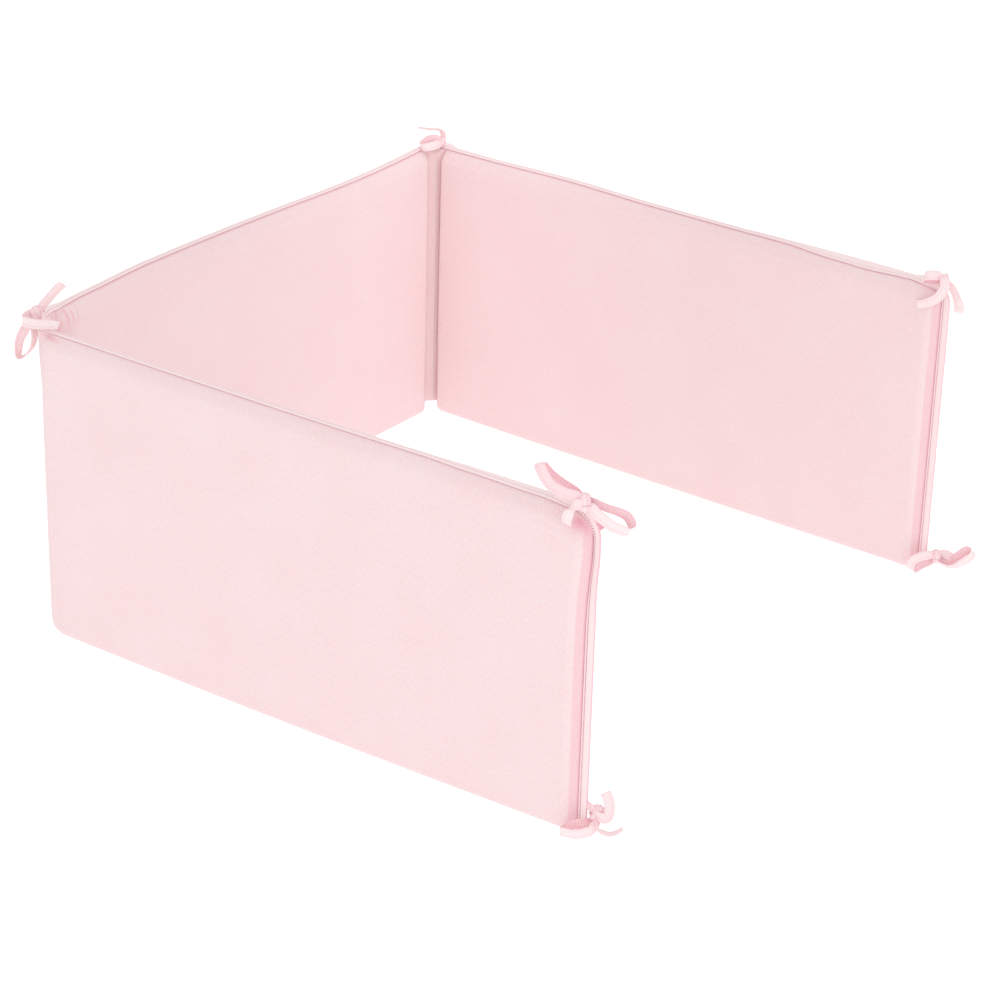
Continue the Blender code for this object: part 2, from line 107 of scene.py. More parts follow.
lamp("front_lamp", (2.15, -2.05, 2.2), (0, 0, 0.15), 1.8, 6, (1.0, 1.0, 1.0))
lamp("left_lamp", (-0.6, -3.0, 1.9), (0, 0, 0.15), 1.8, 2.0, (1.0, 0.99, 0.96))
lamp("open_side_lamp", (3.0, -0.8, 1.5), (-0.3, 0.3, 0.15), 1.8, 4, (1.0, 1.0, 1.0))
lamp("overhead_lamp", (0.35, -0.35, 3.0), (-0.1, 0.1, 0.15), 1.2, 3, (1.0, 1.0, 0.98))
lamp("corner_spot", (0.25, -0.20, 0.95), (-0.34, 0.32, 0.15), 0.3, 7, (1.0, 1.0, 1.0), 25)

world = bpy.data.worlds.new("white_room")
world.use_nodes = True
world.node_tree.nodes["Background"].inputs["Color"].default_value = (1, 1, 1, 1)
world.node_tree.nodes["Background"].inputs["Strength"].default_value = 0.87
bpy.context.scene.world = world
bpy.context.scene.view_settings.view_transform = "Standard"

FLOOR_HALF = 30.0
FLOOR_DROP = 0.0004
floor_mesh = bpy.data.meshes.new("studio_floor")
floor_mesh.from_pydata(
    [(x * FLOOR_HALF, y * FLOOR_HALF, -FLOOR_DROP) for x, y in ((-1, -1), (1, -1), (1, 1), (-1, 1))],
    [], [(0, 1, 2, 3)])
floor = in_scene("studio_floor", floor_mesh)
floor_paint = bpy.data.materials.new("studio_white")
floor_paint.use_nodes = True
floor_shader = floor_paint.node_tree.nodes["Principled BSDF"]
floor_shader.inputs["Base Color"].default_value = (0.45, 0.45, 0.45, 1)
floor_shader.inputs["Roughness"].default_value = 1.0
floor_shader.inputs["Specular IOR Level"].default_value = 0.0
floor_shader.inputs["Emission Color"].default_value = (1, 1, 1, 1)
floor_shader.inputs["Emission Strength"].default_value = 0.75
floor_mesh.materials.append(floor_paint)


# ======== The jersey cover and its three foam pads
# One length of pale pink cotton jersey, folded along the bottom and sewn shut along the top
# and both ends. It holds three foam pads about 25 mm thick. Between them two strips with no
# foam turn the corners, and the ties at the corners gather the cloth into small folds.

SEAM_HEIGHT = 0.2905       # of the seam under the top binding
PAD_HALF = 0.0112          # half the thickness of a pad near its edges
CROWN = 0.0016             # how much further each face swells in the middle
CROWN_REACH = 0.06         # it is full this far from a pad's ends
SEAM_HALF = 0.0011         # half the thickness where the two layers are sewn together
STRIP_HALF = 0.0016        # the same in the corner strips
STRIP_PUFF = 0.0035        # how far the outer layer puffs out round the back corner
STRIP_FOLD = 0.0090        # how far its inner layer folds into the U there
PAD_ROUND = 0.012          # rounding of a pad towards its top and end seams
HINGE_ROUND = 0.004        # the same where side C meets the back corner
FOAM_EDGE = 1.4            # 1 draws the cloth straight from seam to foam, 2 in a quarter circle
FOOT_ROUND = 0.007         # rounding of the folded bottom edge
FOOT_SHARE = 0.65          # and its most, as a share of half the thickness there

# Where each pad's middle plane starts and ends in plan, how far it bows outwards and where
# along it, how far its top seam sags and where, and the rounding of its four corners.
Pad = namedtuple("Pad", "start end bow fullest sag sag_at top_first top_last foot_first foot_last")
PADS = (
    Pad((0.6238, 0.0140), (0.0355, 0.0000), 0.0030, 0.50, 0.0020, 0.25, 0.020, 0.018, 0.008, 0.024),
    Pad((0.0033, 0.0490), (-0.0164, 0.6220), 0.0045, 0.37, 0.0042, 0.78, 0.016, 0.014, 0.018, 0.009),
    Pad((-0.0020, 0.6370), (0.5982, 0.6285), -0.0015, 0.45, 0.0010, 0.62, 0.014, 0.014, 0.009, 0.008),
)
STRIP_REACH = (0.004, 0.009)   # how far each corner strip runs on before it turns
STRIP_PULL = (0.0040, 0.0)     # how far its tie draws the strip's top outwards

# How the tape on the top edge leans, in degrees towards the outside of the U, or the inside
# where it is negative, and how far its seam is lifted, in millimetres. "pad" and "along" say
# where: pad 0 at 0.0 is the free end of side A. The tape lies over between the ties, and its
# seam is higher there.
Lean = namedtuple("Lean", "pad along degrees lift")
LEANS = (
    Lean(0, 0.00, 0, 0.0), Lean(0, 0.036, 0, 0.6), Lean(0, 0.08, -84, 3.2),
    Lean(0, 0.20, -94, 5.2), Lean(0, 0.28, -108, 6.8), Lean(0, 0.99, -108, 6.9),
    Lean(0, 1.00, -95, 6.4), Lean(1, 0.00, 80, 2.4), Lean(1, 0.03, 102, 3.6),
    Lean(1, 0.06, 104, 4.8), Lean(1, 0.25, 104, 7.8), Lean(1, 0.60, 104, 7.8),
    Lean(1, 0.72, 104, 7.2), Lean(1, 1.00, 102, 7.6), Lean(2, 0.00, 70, 5.6),
    Lean(2, 0.02, 94, 5.6), Lean(2, 0.085, 98, 6.0), Lean(2, 0.27, 98, 8.0),
    Lean(2, 0.45, 100, 6.2), Lean(2, 0.60, 100, 6.0), Lean(2, 0.70, 95, 6.0),
    Lean(2, 0.80, 66, 2.6), Lean(2, 0.86, 58, 1.6), Lean(2, 0.94, 82, 3.2),
    Lean(2, 0.985, 0, 0.0), Lean(2, 1.00, 0, 0.0),
)

# Soft folds in a face, in millimetres: the pad, the side of the cloth (1 outside, -1 inside),
# the place of the fold's top end from the pad's start and how far below the seam that is,
# how far its lower end has drifted along, its half width, its height and its length, and
# how deep the painted shade in it is. A place below 0 lies on the corner strip before the pad.
Fold = namedtuple("Fold", "pad side at below drift wide high long deep")
FOLDS = (
    Fold(1, -1, -11, 2, 0, 1.0, -0.5, 18, 0.50),
    Fold(1, -1, -8, 1, 0, 1.6, 0.4, 20, 0.0),
    Fold(1, -1, -5, 1, 0, 0.9, -0.5, 17, 0.45),
    Fold(1, -1, -1, 1, 1, 1.0, -0.6, 22, 0.65),
    Fold(1, -1, 4, 1, 0, 1.8, 0.4, 24, 0.0),
    Fold(1, -1, 9, 1, -2, 0.8, -0.45, 20, 0.50),
    Fold(1, -1, 15, 1, -4, 0.8, -0.4, 22, 0.48),
    Fold(1, -1, 22, 1, -6, 0.8, -0.3, 22, 0.30),
    Fold(1, -1, 38, 1, -5, 1.2, -0.2, 20, 0.06),
    # A painted shadow cast by the left corner's strand, on a slight dip.
    Fold(0, 1, 577, 1, 0, 9.0, -0.3, 3.0, 0.95),
    Fold(2, -1, 34, 4, -26, 2.0, -0.5, 20, 0.06),
    Fold(2, -1, 52, 6, -26, 2.0, -0.6, 14, 0.07),
    Fold(2, -1, 66, 9, -18, 2.0, -0.4, 10, 0.05),
    Fold(2, -1, 20, 5, -10, 2.5, 0.35, 26, 0.0),
    # The dent under the front top knot, with painted shade in it.
    Fold(0, 1, 8, 0, 5, 4.2, -1.4, 13, 0.90),
    Fold(0, 1, 21, 2, 3, 3.0, 0.6, 30, 0.0),
    Fold(0, 1, 30, 2, 7, 4.0, -0.5, 36, 0.04),
    Fold(0, 1, 44, 2, 7, 5.0, -0.4, 40, 0.0),
    Fold(2, -1, 560, 3, 6, 6.0, -0.6, 34, 0.03),
)


def hump(along, fullest):
    """0 at both ends and 1 where fullest says."""
    inside = min(max(along, 0.0), 1.0)
    return math.sin(math.pi * inside ** (math.log(0.5) / math.log(fullest)))


def eased_step(x):
    x = min(max(x, 0.0), 1.0)
    return x * x * (3 - 2 * x)


def bell(x, width):
    """1 at 0, and next to nothing two widths away."""
    return math.exp(-(x / width) ** 2)


def pad_length(pad):
    return (Vector(pad.end) - Vector(pad.start)).length


def pad_point(pad, along):
    """A point of a pad's middle line in plan."""
    start = Vector(pad.start)
    run = Vector(pad.end) - start
    outwards = Vector((-run.y, run.x)).normalized()
    return start + run * along + outwards * pad.bow * hump(along, pad.fullest)


def pad_heading(pad, along):
    step = 0.001
    ahead = pad_point(pad, min(along + step, 1.0))
    return (ahead - pad_point(pad, max(along - step, 0.0))).normalized()


def strip_point(corner, along):
    """A point of the corner strip's middle line, which turns from one pad into the next."""
    first, last = PADS[corner], PADS[corner + 1]
    p0, p3 = pad_point(first, 1.0), pad_point(last, 0.0)
    p1 = p0 + pad_heading(first, 1.0) * STRIP_REACH[corner]
    p2 = p3 - pad_heading(last, 0.0) * STRIP_REACH[corner]
    rest = 1.0 - along
    return rest ** 3 * p0 + 3 * rest ** 2 * along * p1 + 3 * rest * along ** 2 * p2 + along ** 3 * p3


def strip_heading(corner, along):
    step = 0.01
    ahead = strip_point(corner, min(along + step, 1.0))
    return (ahead - strip_point(corner, max(along - step, 0.0))).normalized()


# A place on the middle line: its point, the direction along the cloth, the direction out of
# the U, the pad or the corner that it belongs to, how far along that it is, and its distance
# from the cloth's start, in metres.
Place = namedtuple("Place", "point ahead outwards pad corner along run")

pad_starts = []
strip_starts = []
cloth_run = 0.0
for index, pad in enumerate(PADS):
    pad_starts.append(cloth_run)
    cloth_run += pad_length(pad)
    if index < len(PADS) - 1:
        strip_starts.append(cloth_run)
        cloth_run += sum((strip_point(index, (i + 1) / 20) - strip_point(index, i / 20)).length
                         for i in range(20))


def place_at(point, ahead, *rest):
    return Place(Vector((*point, 0)), Vector((*ahead, 0)), Vector((-ahead.y, ahead.x, 0)), *rest)


def pad_place(index, along):
    pad = PADS[index]
    run = pad_starts[index] + along * pad_length(pad)
    return place_at(pad_point(pad, along), pad_heading(pad, along), index, None, along, run)


def strip_place(corner, along):
    run = strip_starts[corner] + along * (pad_starts[corner + 1] - strip_starts[corner])
    return place_at(strip_point(corner, along), strip_heading(corner, along), None, corner, along, run)


def leaning_at(place):
    """The lean of the tape on the top edge at a place, and the lift of its seam."""
    if place.pad is None:
        first = leaning_at(pad_place(place.corner, 1.0))
        last = leaning_at(pad_place(place.corner + 1, 0.0))
        share = eased_step(place.along)
        return [a + (b - a) * share for a, b in zip(first, last)]
    rows = [lean for lean in LEANS if lean.pad == place.pad]
    for before, after in zip(rows, rows[1:]):
        if before.along <= place.along <= after.along:
            share = eased_step((place.along - before.along) / (after.along - before.along))
            degrees = before.degrees + (after.degrees - before.degrees) * share
            return math.radians(degrees), (before.lift + (after.lift - before.lift) * share) / 1000


def seam_height(place):
    """Height of the top seam, which sags a little and is higher where its tape lies over."""
    height = SEAM_HEIGHT + leaning_at(place)[1]
    if place.pad is None:
        return height
    pad = PADS[place.pad]
    return height - pad.sag * hump(place.along, pad.sag_at)


def quarter(share):
    """Height of a quarter circle of radius 1 at this share of its run."""
    share = min(max(share, 0.0), 1.0)
    return math.sqrt(1 - (1 - share) ** 2)


def rounded_off(distance, radius):
    """How far a rounded corner has drawn back from the square one at this distance."""
    return radius * (1 - quarter(distance / radius)) if distance < radius else 0.0


def drawn(share):
    """How far out the cloth is on its way from a seam, 0, to the foam's edge, 1."""
    share = min(max(share, 0.0), 1.0)
    return (1 - (1 - share) ** FOAM_EDGE) ** (1 / FOAM_EDGE)


def filling(pad, from_start, from_end, below_top):
    """How full the foam leaves the cover: 0 outside the pad's outline, 1 well inside."""
    if from_start < from_end:
        from_side, corner = from_start, pad.top_first
    else:
        from_side, corner = from_end, pad.top_last
    if from_side < corner and below_top < corner:
        inside = corner - math.hypot(corner - from_side, corner - below_top)
    else:
        inside = min(from_side, below_top)
    return drawn(inside / PAD_ROUND)


FOLD_CUT = 1.6             # where a fold ends, as a share of its length
FOLD_FADE = 1.6            # how fast it grows flatter on its way down
FOLD_BEND = 1.4            # how late it drifts along
FOLD_SPREAD = 0.8          # how much wider it is at its length
FOLD_START = 3.0           # it rises from the seam over so many millimetres


def folds_at(place, side, below):
    """How far the soft folds lift this face, and how much painted shade their troughs give it."""
    lift = fold_shade = 0.0
    pad = place.corner + 1 if place.pad is None else place.pad
    along = (place.run - pad_starts[pad]) * 1000
    for fold in FOLDS:
        if fold.pad != pad or fold.side != side:
            continue
        down = below * 1000 - fold.below
        if down < -fold.below or down > fold.long * FOLD_CUT:
            continue
        share = max(down, 0.0) / fold.long
        middle = fold.at + fold.drift * share ** FOLD_BEND
        strength = bell(along - middle, fold.wide * (1 + FOLD_SPREAD * share))
        strength *= math.exp(-FOLD_FADE * share * share)
        strength *= eased_step((down + fold.below) / FOLD_START)
        lift += fold.high * strength / 1000
        fold_shade += fold.deep * strength
    return lift, fold_shade


PUCKER_PITCH = 0.0125      # small puckers where the jersey is sewn to the tape
PUCKER_HIGH = 0.00022
PUCKER_FADE = 0.012
PUCKER_WANDER = 3.9        # how unevenly they follow each other
PUCKER_LEAST = 0.35        # the least of them, as a share of the highest
SWELL_HIGH = 0.0007        # slow, uneven swelling of the faces
SWELL_FINER = 0.45         # a second, finer swelling, as a share of it


def uneven(*at):
    """Smooth noise between -1 and 1 at a place, of one feature or so to a unit."""
    return noise.noise(Vector(at))


def unevenness(place, side, height, below):
    """The jersey's slow swelling and its small puckers under the seam."""
    slow = uneven(place.run * 9, height * 8, side * 3.7)
    slow += SWELL_FINER * uneven(place.run * 26 + 5, height * 17, side * 2.1)
    wander = PUCKER_WANDER * uneven(place.run * 40, side * 9.0, 0.5)
    pucker = math.sin(place.run / PUCKER_PITCH * 2 * math.pi + wander)
    amount = PUCKER_LEAST + (1 - PUCKER_LEAST) * abs(uneven(place.run * 31, side * 1.7, 4.0)) * 2
    return SWELL_HIGH * slow, PUCKER_HIGH * pucker * amount * math.exp(-below / PUCKER_FADE)


# Bands of painted shade on the jersey: how deep from 0 to 1, how far that reaches, and over
# how much of this it fades.
ShadeBand = namedtuple("ShadeBand", "deep reach fade")
FOOT_SHADE_BAND = ShadeBand(0.07, 0.009, 0.005)     # along the bottom fold
END_SHADE_BAND = ShadeBand(0.30, 0.0060, 0.0012)    # round the foam at the free ends
TOP_SHADE_BAND = ShadeBand(0.03, 0.010, 0.004)      # over the foam's top edge
# Painted shade in the seams and where the sides meet the corner strips:
SEAM_SHADE = (0.22, 0.50, 0.40)             # along the top seam of each side
SEAM_REACH = 0.0007
SIDE_SHADE = (0.20, 0.15, 0.45)             # where each side meets a corner strip
SIDE_REACH = 0.0014
END_SEAM_SHADE = 0.65                            # along the seams of the free ends
END_REACH = 0.0010


def banded_shade(shade_band, distance):
    return shade_band.deep * eased_step((shade_band.reach - distance) / shade_band.fade)


def painted_shade(place, side, from_side, at_free_end, height, below):
    """How deep a painted shade the jersey has: most in the seams, and some where the cloth
    rounds off the foam, as round the pads' ends and along the bottom fold."""
    pad = place.corner + 1 if place.pad is None else place.pad
    deep = max(SEAM_SHADE[pad] * bell(below, SEAM_REACH), banded_shade(FOOT_SHADE_BAND, height))
    if place.pad is None:
        return deep
    if at_free_end:
        deep = max(deep, END_SEAM_SHADE * bell(from_side, END_REACH), banded_shade(END_SHADE_BAND, from_side))
    else:
        deep = max(deep, SIDE_SHADE[pad] * bell(from_side, SIDE_REACH))
    return max(deep, banded_shade(TOP_SHADE_BAND, below))


FOOT_STEPS = 6
FACE_STEPS = 30
TOP_STEPS = 10
CALM_SIDE = 0.020          # the faces swell less this near a pad's ends,
CALM_FOOT = 0.030          # this near the bottom fold
CALM_SEAM = 0.004          # and this near the seam
FOLDS_SIDE = 0.008         # and fold less this near a pad's ends, but for the left corner


def cover_section(place):
    """The cover's closed cross section at a place: (out, height, how deep its painted shade) rows."""
    top = full_top = seam_height(place)
    edge = STRIP_HALF
    free_end = False
    puff = inner_puff = crown = 0.0
    if place.pad is None:
        first, last = PADS[place.corner].foot_last, PADS[place.corner + 1].foot_first
        foot = first + (last - first) * eased_step(place.along)
        puff = STRIP_PUFF * place.corner * math.sin(math.pi * place.along)
        inner_puff = STRIP_FOLD * place.corner * math.sin(math.pi * place.along) ** 0.6
        side_share = 0.0
        from_start = from_end = 0.0
    else:
        pad = PADS[place.pad]
        length = pad_length(pad)
        from_start = place.along * length
        from_end = length - from_start
        foot = rounded_off(from_start, pad.foot_first) + rounded_off(from_end, pad.foot_last)
        crown = CROWN * min(quarter(from_start / CROWN_REACH), quarter(from_end / CROWN_REACH))
        if place.pad == 0:
            top -= rounded_off(from_start, pad.top_first)
        if place.pad == len(PADS) - 1:
            top -= rounded_off(from_end, pad.top_last)
        free_end = place.pad == 0 and from_start < from_end or place.pad == 2 and from_end < from_start
        if free_end:
            edge = SEAM_HALF
        side_share = min(1.0, min(from_start, from_end) / CALM_SIDE)
        near_start = from_start * (PAD_ROUND / HINGE_ROUND if place.pad == 2 else 1)

    def half(height):
        near_top = drawn((top - height) / PAD_ROUND)
        base = SEAM_HALF + (edge - SEAM_HALF) * near_top
        if place.pad is None:
            return base
        return base + (PAD_HALF - base) * filling(pad, near_start, from_end, full_top - height)

    rows = []
    for side in (1, -1):
        extra = puff if side == 1 else inner_puff
        at_foot = half(foot + FOOT_ROUND) + extra
        round_foot = min(FOOT_ROUND, FOOT_SHARE * at_foot)
        half_rows = []
        for i in range(FOOT_STEPS):
            turn = math.radians(-90 + 90 * i / FOOT_STEPS)
            half_rows.append((at_foot - round_foot + round_foot * math.cos(turn),
                              foot + round_foot * (1 + math.sin(turn)), 0.0))
        low, high = foot + round_foot, top - PAD_ROUND
        heights = [low + (high - low) * i / FACE_STEPS for i in range(FACE_STEPS)]
        heights += [high + PAD_ROUND * math.sin(math.radians(90 * i / TOP_STEPS))
                    for i in range(TOP_STEPS + 1)]
        for height in heights:
            share = (height - low) / (high - low)
            below = top - height
            swell = crown * math.sin(math.pi * min(share, 1.0)) if share < 1 else 0.0
            slow, pucker = unevenness(place, side, height, below)
            lift, fold_shade = folds_at(place, side, below)
            near_seam = min(1.0, below / CALM_SEAM)
            calm = side_share * min(1.0, (height - foot) / CALM_FOOT) * near_seam
            gathered = place.corner == 0 or place.pad == 1 and from_start < from_end
            near_side = 1.0 if gathered else min(1.0, min(from_start, from_end) / FOLDS_SIDE)
            out = half(height) + extra * near_seam + swell + calm * slow
            out += near_side * near_seam * (lift + pucker)
            # Painted shade: in the seams, round the foam's edges, and in the troughs of the folds.
            deep = painted_shade(place, side, min(from_start, from_end), free_end, height, below)
            half_rows.append((out, height, min(deep + fold_shade, 1.0)))
        rows.append([(side * out, height, deep) for out, height, deep in half_rows])
    return rows[0] + rows[1][::-1]


STRIP_STEPS = 26
END_STEPS = 12                     # sections round a pad's end
ROUND_STEPS = 8                    # and along each of its rounded corners
FINE_TO = (0.070, 0.055, 0.080)    # how far along each pad they are close together, for its folds
FINE_STEP = 0.0012
COARSE_STEP = 0.0042
LEAST_STEP = 0.00035


def cover_stations(index):
    """Shares along a pad where the cover gets a cross section: close at its ends and folds."""
    pad = PADS[index]
    length = pad_length(pad)
    near = [PAD_ROUND * (1 - math.cos(math.pi / 2 * i / END_STEPS)) for i in range(END_STEPS + 1)]
    marks = set(near) | {length - distance for distance in near}
    for reach in (pad.foot_first, pad.top_first):
        marks |= {reach * i / ROUND_STEPS for i in range(1, ROUND_STEPS + 1)}
    for reach in (pad.foot_last, pad.top_last):
        marks |= {length - reach * i / ROUND_STEPS for i in range(1, ROUND_STEPS + 1)}
    fine_to = FINE_TO[index]
    fine, coarse = fine_to - PAD_ROUND, length - PAD_ROUND - fine_to
    marks |= {PAD_ROUND + FINE_STEP * i for i in range(int(fine / FINE_STEP))}
    marks |= {fine_to + COARSE_STEP * i for i in range(int(coarse / COARSE_STEP) + 1)}
    kept = []
    for mark in sorted(marks):
        if not kept or mark - kept[-1] > LEAST_STEP or mark == length:
            kept.append(mark)
    return [mark / length for mark in kept]


cover_places = []
for index in range(len(PADS)):
    cover_places += [pad_place(index, along) for along in cover_stations(index)]
    if index < len(PADS) - 1:
        cover_places += [strip_place(index, i / STRIP_STEPS) for i in range(1, STRIP_STEPS)]


END_FULL = 0.0042          # how much longer side A is just below its top corner
END_FULL_AT = 0.262
END_FULL_REACH = 0.038
END_FULL_FADE = 0.05       # how far along the side that lasts
PULL_FROM = 0.22           # height from which a tie draws the corner strip outwards


def end_fullness(height):
    """How far the free end of side A swells out beyond its foot at this height."""
    return END_FULL * bell(height - END_FULL_AT, END_FULL_REACH)


def in_space(place, out, height):
    """A point at this height and this far out from the middle line."""
    if place.pad == 0:
        near_end = eased_step(1 - place.along * pad_length(PADS[0]) / END_FULL_FADE)
        beyond = -place.ahead * end_fullness(height) * near_end
        return place.point + beyond + place.outwards * out + UP * height - SET_MIDDLE
    if place.pad is None:
        pulled = eased_step((height - PULL_FROM) / (SEAM_HEIGHT - PULL_FROM))
        out += STRIP_PULL[place.corner] * math.sin(math.pi * place.along) * pulled
    return place.point + place.outwards * out + UP * height - SET_MIDDLE


def cloth_mesh(name, tubes):
    """A mesh of closed tubes. Each tube is a row of rings, and whether the row runs round to
    its start. A ring is a row of points, each with its lay: its distance along the cloth, its
    distance across it and how deep a painted shade it has."""
    corners = []
    faces = []
    for rings, shut in tubes:
        first = len(corners)
        count = len(rings[0])
        corners += [corner for ring in rings for corner in ring]
        for i in range(len(rings) if shut else len(rings) - 1):
            near, far = first + i * count, first + (i + 1) % len(rings) * count
            for j in range(count):
                k = (j + 1) % count
                faces.append((near + j, near + k, far + k, far + j))
        if not shut:
            end = first + (len(rings) - 1) * count
            faces.append(tuple(range(first, first + count))[::-1])
            faces.append(tuple(range(end, end + count)))
    mesh = bpy.data.meshes.new(name)
    mesh.from_pydata([tuple(point) for point, lay in corners], [], faces)
    work = bmesh.new()
    work.from_mesh(mesh)
    bmesh.ops.recalc_face_normals(work, faces=work.faces)
    work.to_mesh(mesh)
    work.free()
    mesh.shade_smooth()
    lays = np.array([lay for point, lay in corners], np.float32)
    mesh.attributes.new("lay", "FLOAT_VECTOR", "POINT").data.foreach_set("vector", lays.ravel())
    return mesh


def piece(name, mesh, paint):
    """A finished piece of the set: it rides on the part's one body."""
    made = in_scene(name, mesh)
    mesh.materials.append(paint)
    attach(made, "root")
    return made


cover_rings = []
for place in cover_places:
    cover_rings.append([(in_space(place, out, height), (place.run, height, deep))
                        for out, height, deep in cover_section(place)])
cover_mesh = cloth_mesh("jersey_cover", [(cover_rings, False)])


# -------- Jersey: a fine stocking-stitch knit whose wales run up the sides.

def cloth_group(name, inputs, outputs):
    """An empty shader group with these sockets and one for the cloth's lay. It comes with its
    two ends and with the parts of the lay."""
    group = bpy.data.node_groups.new(name, "ShaderNodeTree")
    for label, kind in (("Lay", "NodeSocketVector"), *inputs):
        group.interface.new_socket(name=label, in_out="INPUT", socket_type=kind)
    for label, kind in outputs:
        group.interface.new_socket(name=label, in_out="OUTPUT", socket_type=kind)
    start = group.nodes.new("NodeGroupInput")
    parts = group.nodes.new("ShaderNodeSeparateXYZ")
    group.links.new(start.outputs["Lay"], parts.inputs[0])
    return group, start, group.nodes.new("NodeGroupOutput"), parts.outputs


def sums(tree, operation, *values):
    """A maths node. Each value is a number or another node's output."""
    node = tree.nodes.new("ShaderNodeMath")
    node.operation = operation
    for socket, value in zip(node.inputs, values):
        if isinstance(value, (int, float)):
            socket.default_value = value
        else:
            tree.links.new(value, socket)
    return node.outputs[0]


def mixed(tree, share, first, second):
    """A colour between two, which are plain colours or other nodes' outputs."""
    node = tree.nodes.new("ShaderNodeMix")
    node.data_type = "RGBA"
    tree.links.new(share, node.inputs[0])
    for socket, value in ((node.inputs[6], first), (node.inputs[7], second)):
        if isinstance(value, tuple):
            socket.default_value = (*value, 1)
        else:
            tree.links.new(value, socket)
    return node.outputs[2]


def ranged(tree, value, low, high, to_low, to_high):
    """A value read between two others, and held at both."""
    node = tree.nodes.new("ShaderNodeMapRange")
    tree.links.new(value, node.inputs["Value"])
    for label, number in (("From Min", low), ("From Max", high), ("To Min", to_low), ("To Max", to_high)):
        node.inputs[label].default_value = number
    return node.outputs[0]


# The knit: legs of each stitch lean together into a V, wale beside wale.
LEG_SLANT = 1.4            # how many courses a leg climbs
LEG_LEAST = 0.45           # its height between two courses, as a share of its most

knit, knit_in, knit_out, knit_lay = cloth_group(
    "knit_stitches", (("Wale", "NodeSocketFloat"), ("Course", "NodeSocketFloat")),
    (("Height", "NodeSocketFloat"),))
wale_at = sums(knit, "FRACT", sums(knit, "DIVIDE", knit_lay["X"], knit_in.outputs["Wale"]))
from_middle = sums(knit, "ABSOLUTE", sums(knit, "SUBTRACT", wale_at, 0.5))
leg = sums(knit, "SINE", sums(knit, "MULTIPLY", from_middle, 2 * math.pi))
course_at = sums(knit, "DIVIDE", knit_lay["Y"], knit_in.outputs["Course"])
leaning = sums(knit, "ADD", course_at, sums(knit, "MULTIPLY", from_middle, LEG_SLANT))
stitch = sums(knit, "ABSOLUTE", sums(knit, "SINE", sums(knit, "MULTIPLY", leaning, math.pi)))
plump = sums(knit, "ADD", LEG_LEAST, sums(knit, "MULTIPLY", stitch, 1 - LEG_LEAST))
knit.links.new(sums(knit, "MULTIPLY", leg, plump), knit_out.inputs["Height"])

# The dye: a pale and a deeper pink, streaked up the cloth and mottled, with painted shade mixed in where
# the lay is deep.
CLOUD_SHARE = 0.18         # how strong its broad clouds are,
SPECKLE_SHARE = 0.7        # and its specks
MOTTLE_FROM = 0.40         # their sum where the cloth is palest
MOTTLE_TO = 0.88           # and where it is pinkest

dye_and_shade, dye_in, dye_out, dye_lay = cloth_group(
    "uneven_dye_and_painted_shade",
    (("Pale", "NodeSocketColor"), ("Pink", "NodeSocketColor"), ("Crease", "NodeSocketColor"),
     ("Streak", "NodeSocketFloat")),
    (("Color", "NodeSocketColor"), ("Mottle", "NodeSocketFloat")))


def dye_noise(across, up, detail):
    """Noise laid on the cloth, with so many features to a metre each way."""
    place = dye_and_shade.nodes.new("ShaderNodeCombineXYZ")
    dye_and_shade.links.new(sums(dye_and_shade, "MULTIPLY", dye_lay["X"], across), place.inputs["X"])
    dye_and_shade.links.new(sums(dye_and_shade, "MULTIPLY", dye_lay["Y"], up), place.inputs["Y"])
    node = dye_and_shade.nodes.new("ShaderNodeTexNoise")
    node.inputs["Scale"].default_value = 1.0
    node.inputs["Detail"].default_value = detail
    dye_and_shade.links.new(place.outputs[0], node.inputs["Vector"])
    return node.outputs[0]


streaks = dye_noise(800, 240, 1.0)
speckle = dye_noise(1100, 1000, 1.0)
clouds = dye_noise(14, 11, 2.0)
together = sums(dye_and_shade, "ADD", sums(dye_and_shade, "MULTIPLY", clouds, CLOUD_SHARE),
                sums(dye_and_shade, "ADD", sums(dye_and_shade, "MULTIPLY", streaks, dye_in.outputs["Streak"]),
                     sums(dye_and_shade, "MULTIPLY", speckle, SPECKLE_SHARE)))
mottle = ranged(dye_and_shade, together, MOTTLE_FROM, MOTTLE_TO, 0.0, 1.0)
dyed = mixed(dye_and_shade, mottle, dye_in.outputs["Pale"], dye_in.outputs["Pink"])
# Painted shade: the lay's third part mixes in the shade colour.
dye_and_shade.links.new(mixed(dye_and_shade, dye_lay["Z"], dyed, dye_in.outputs["Crease"]), dye_out.inputs["Color"])
dye_and_shade.links.new(mottle, dye_out.inputs["Mottle"])

JERSEY_PALE = (0.968, 0.850, 0.848)
JERSEY_PINK = (0.940, 0.655, 0.676)
# The jersey's colour where it has painted shade, in seams, creases and folds.
JERSEY_PAINTED_SHADE = (0.86, 0.36, 0.46)
WALE = 0.0011
COURSE = 0.0009
KNIT_DEEP = 0.0003
MOTTLE_HIGH = 0.6          # how far the deeper-dyed threads stand out, against the knit


def cloth_paint(name, roughness):
    """A material for soft cloth with a faint nap, and the lay of its threads."""
    made = bpy.data.materials.new(name)
    made.use_nodes = True
    tree = made.node_tree
    shader = tree.nodes["Principled BSDF"]
    shader.inputs["Roughness"].default_value = roughness
    shader.inputs["Specular IOR Level"].default_value = 0.15
    shader.inputs["Sheen Weight"].default_value = 0.25
    shader.inputs["Sheen Roughness"].default_value = 0.6
    shader.inputs["Sheen Tint"].default_value = (1.0, 0.86, 0.88, 1)
    lay = tree.nodes.new("ShaderNodeAttribute")
    lay.attribute_name = "lay"
    return made, tree, shader, lay.outputs["Vector"]


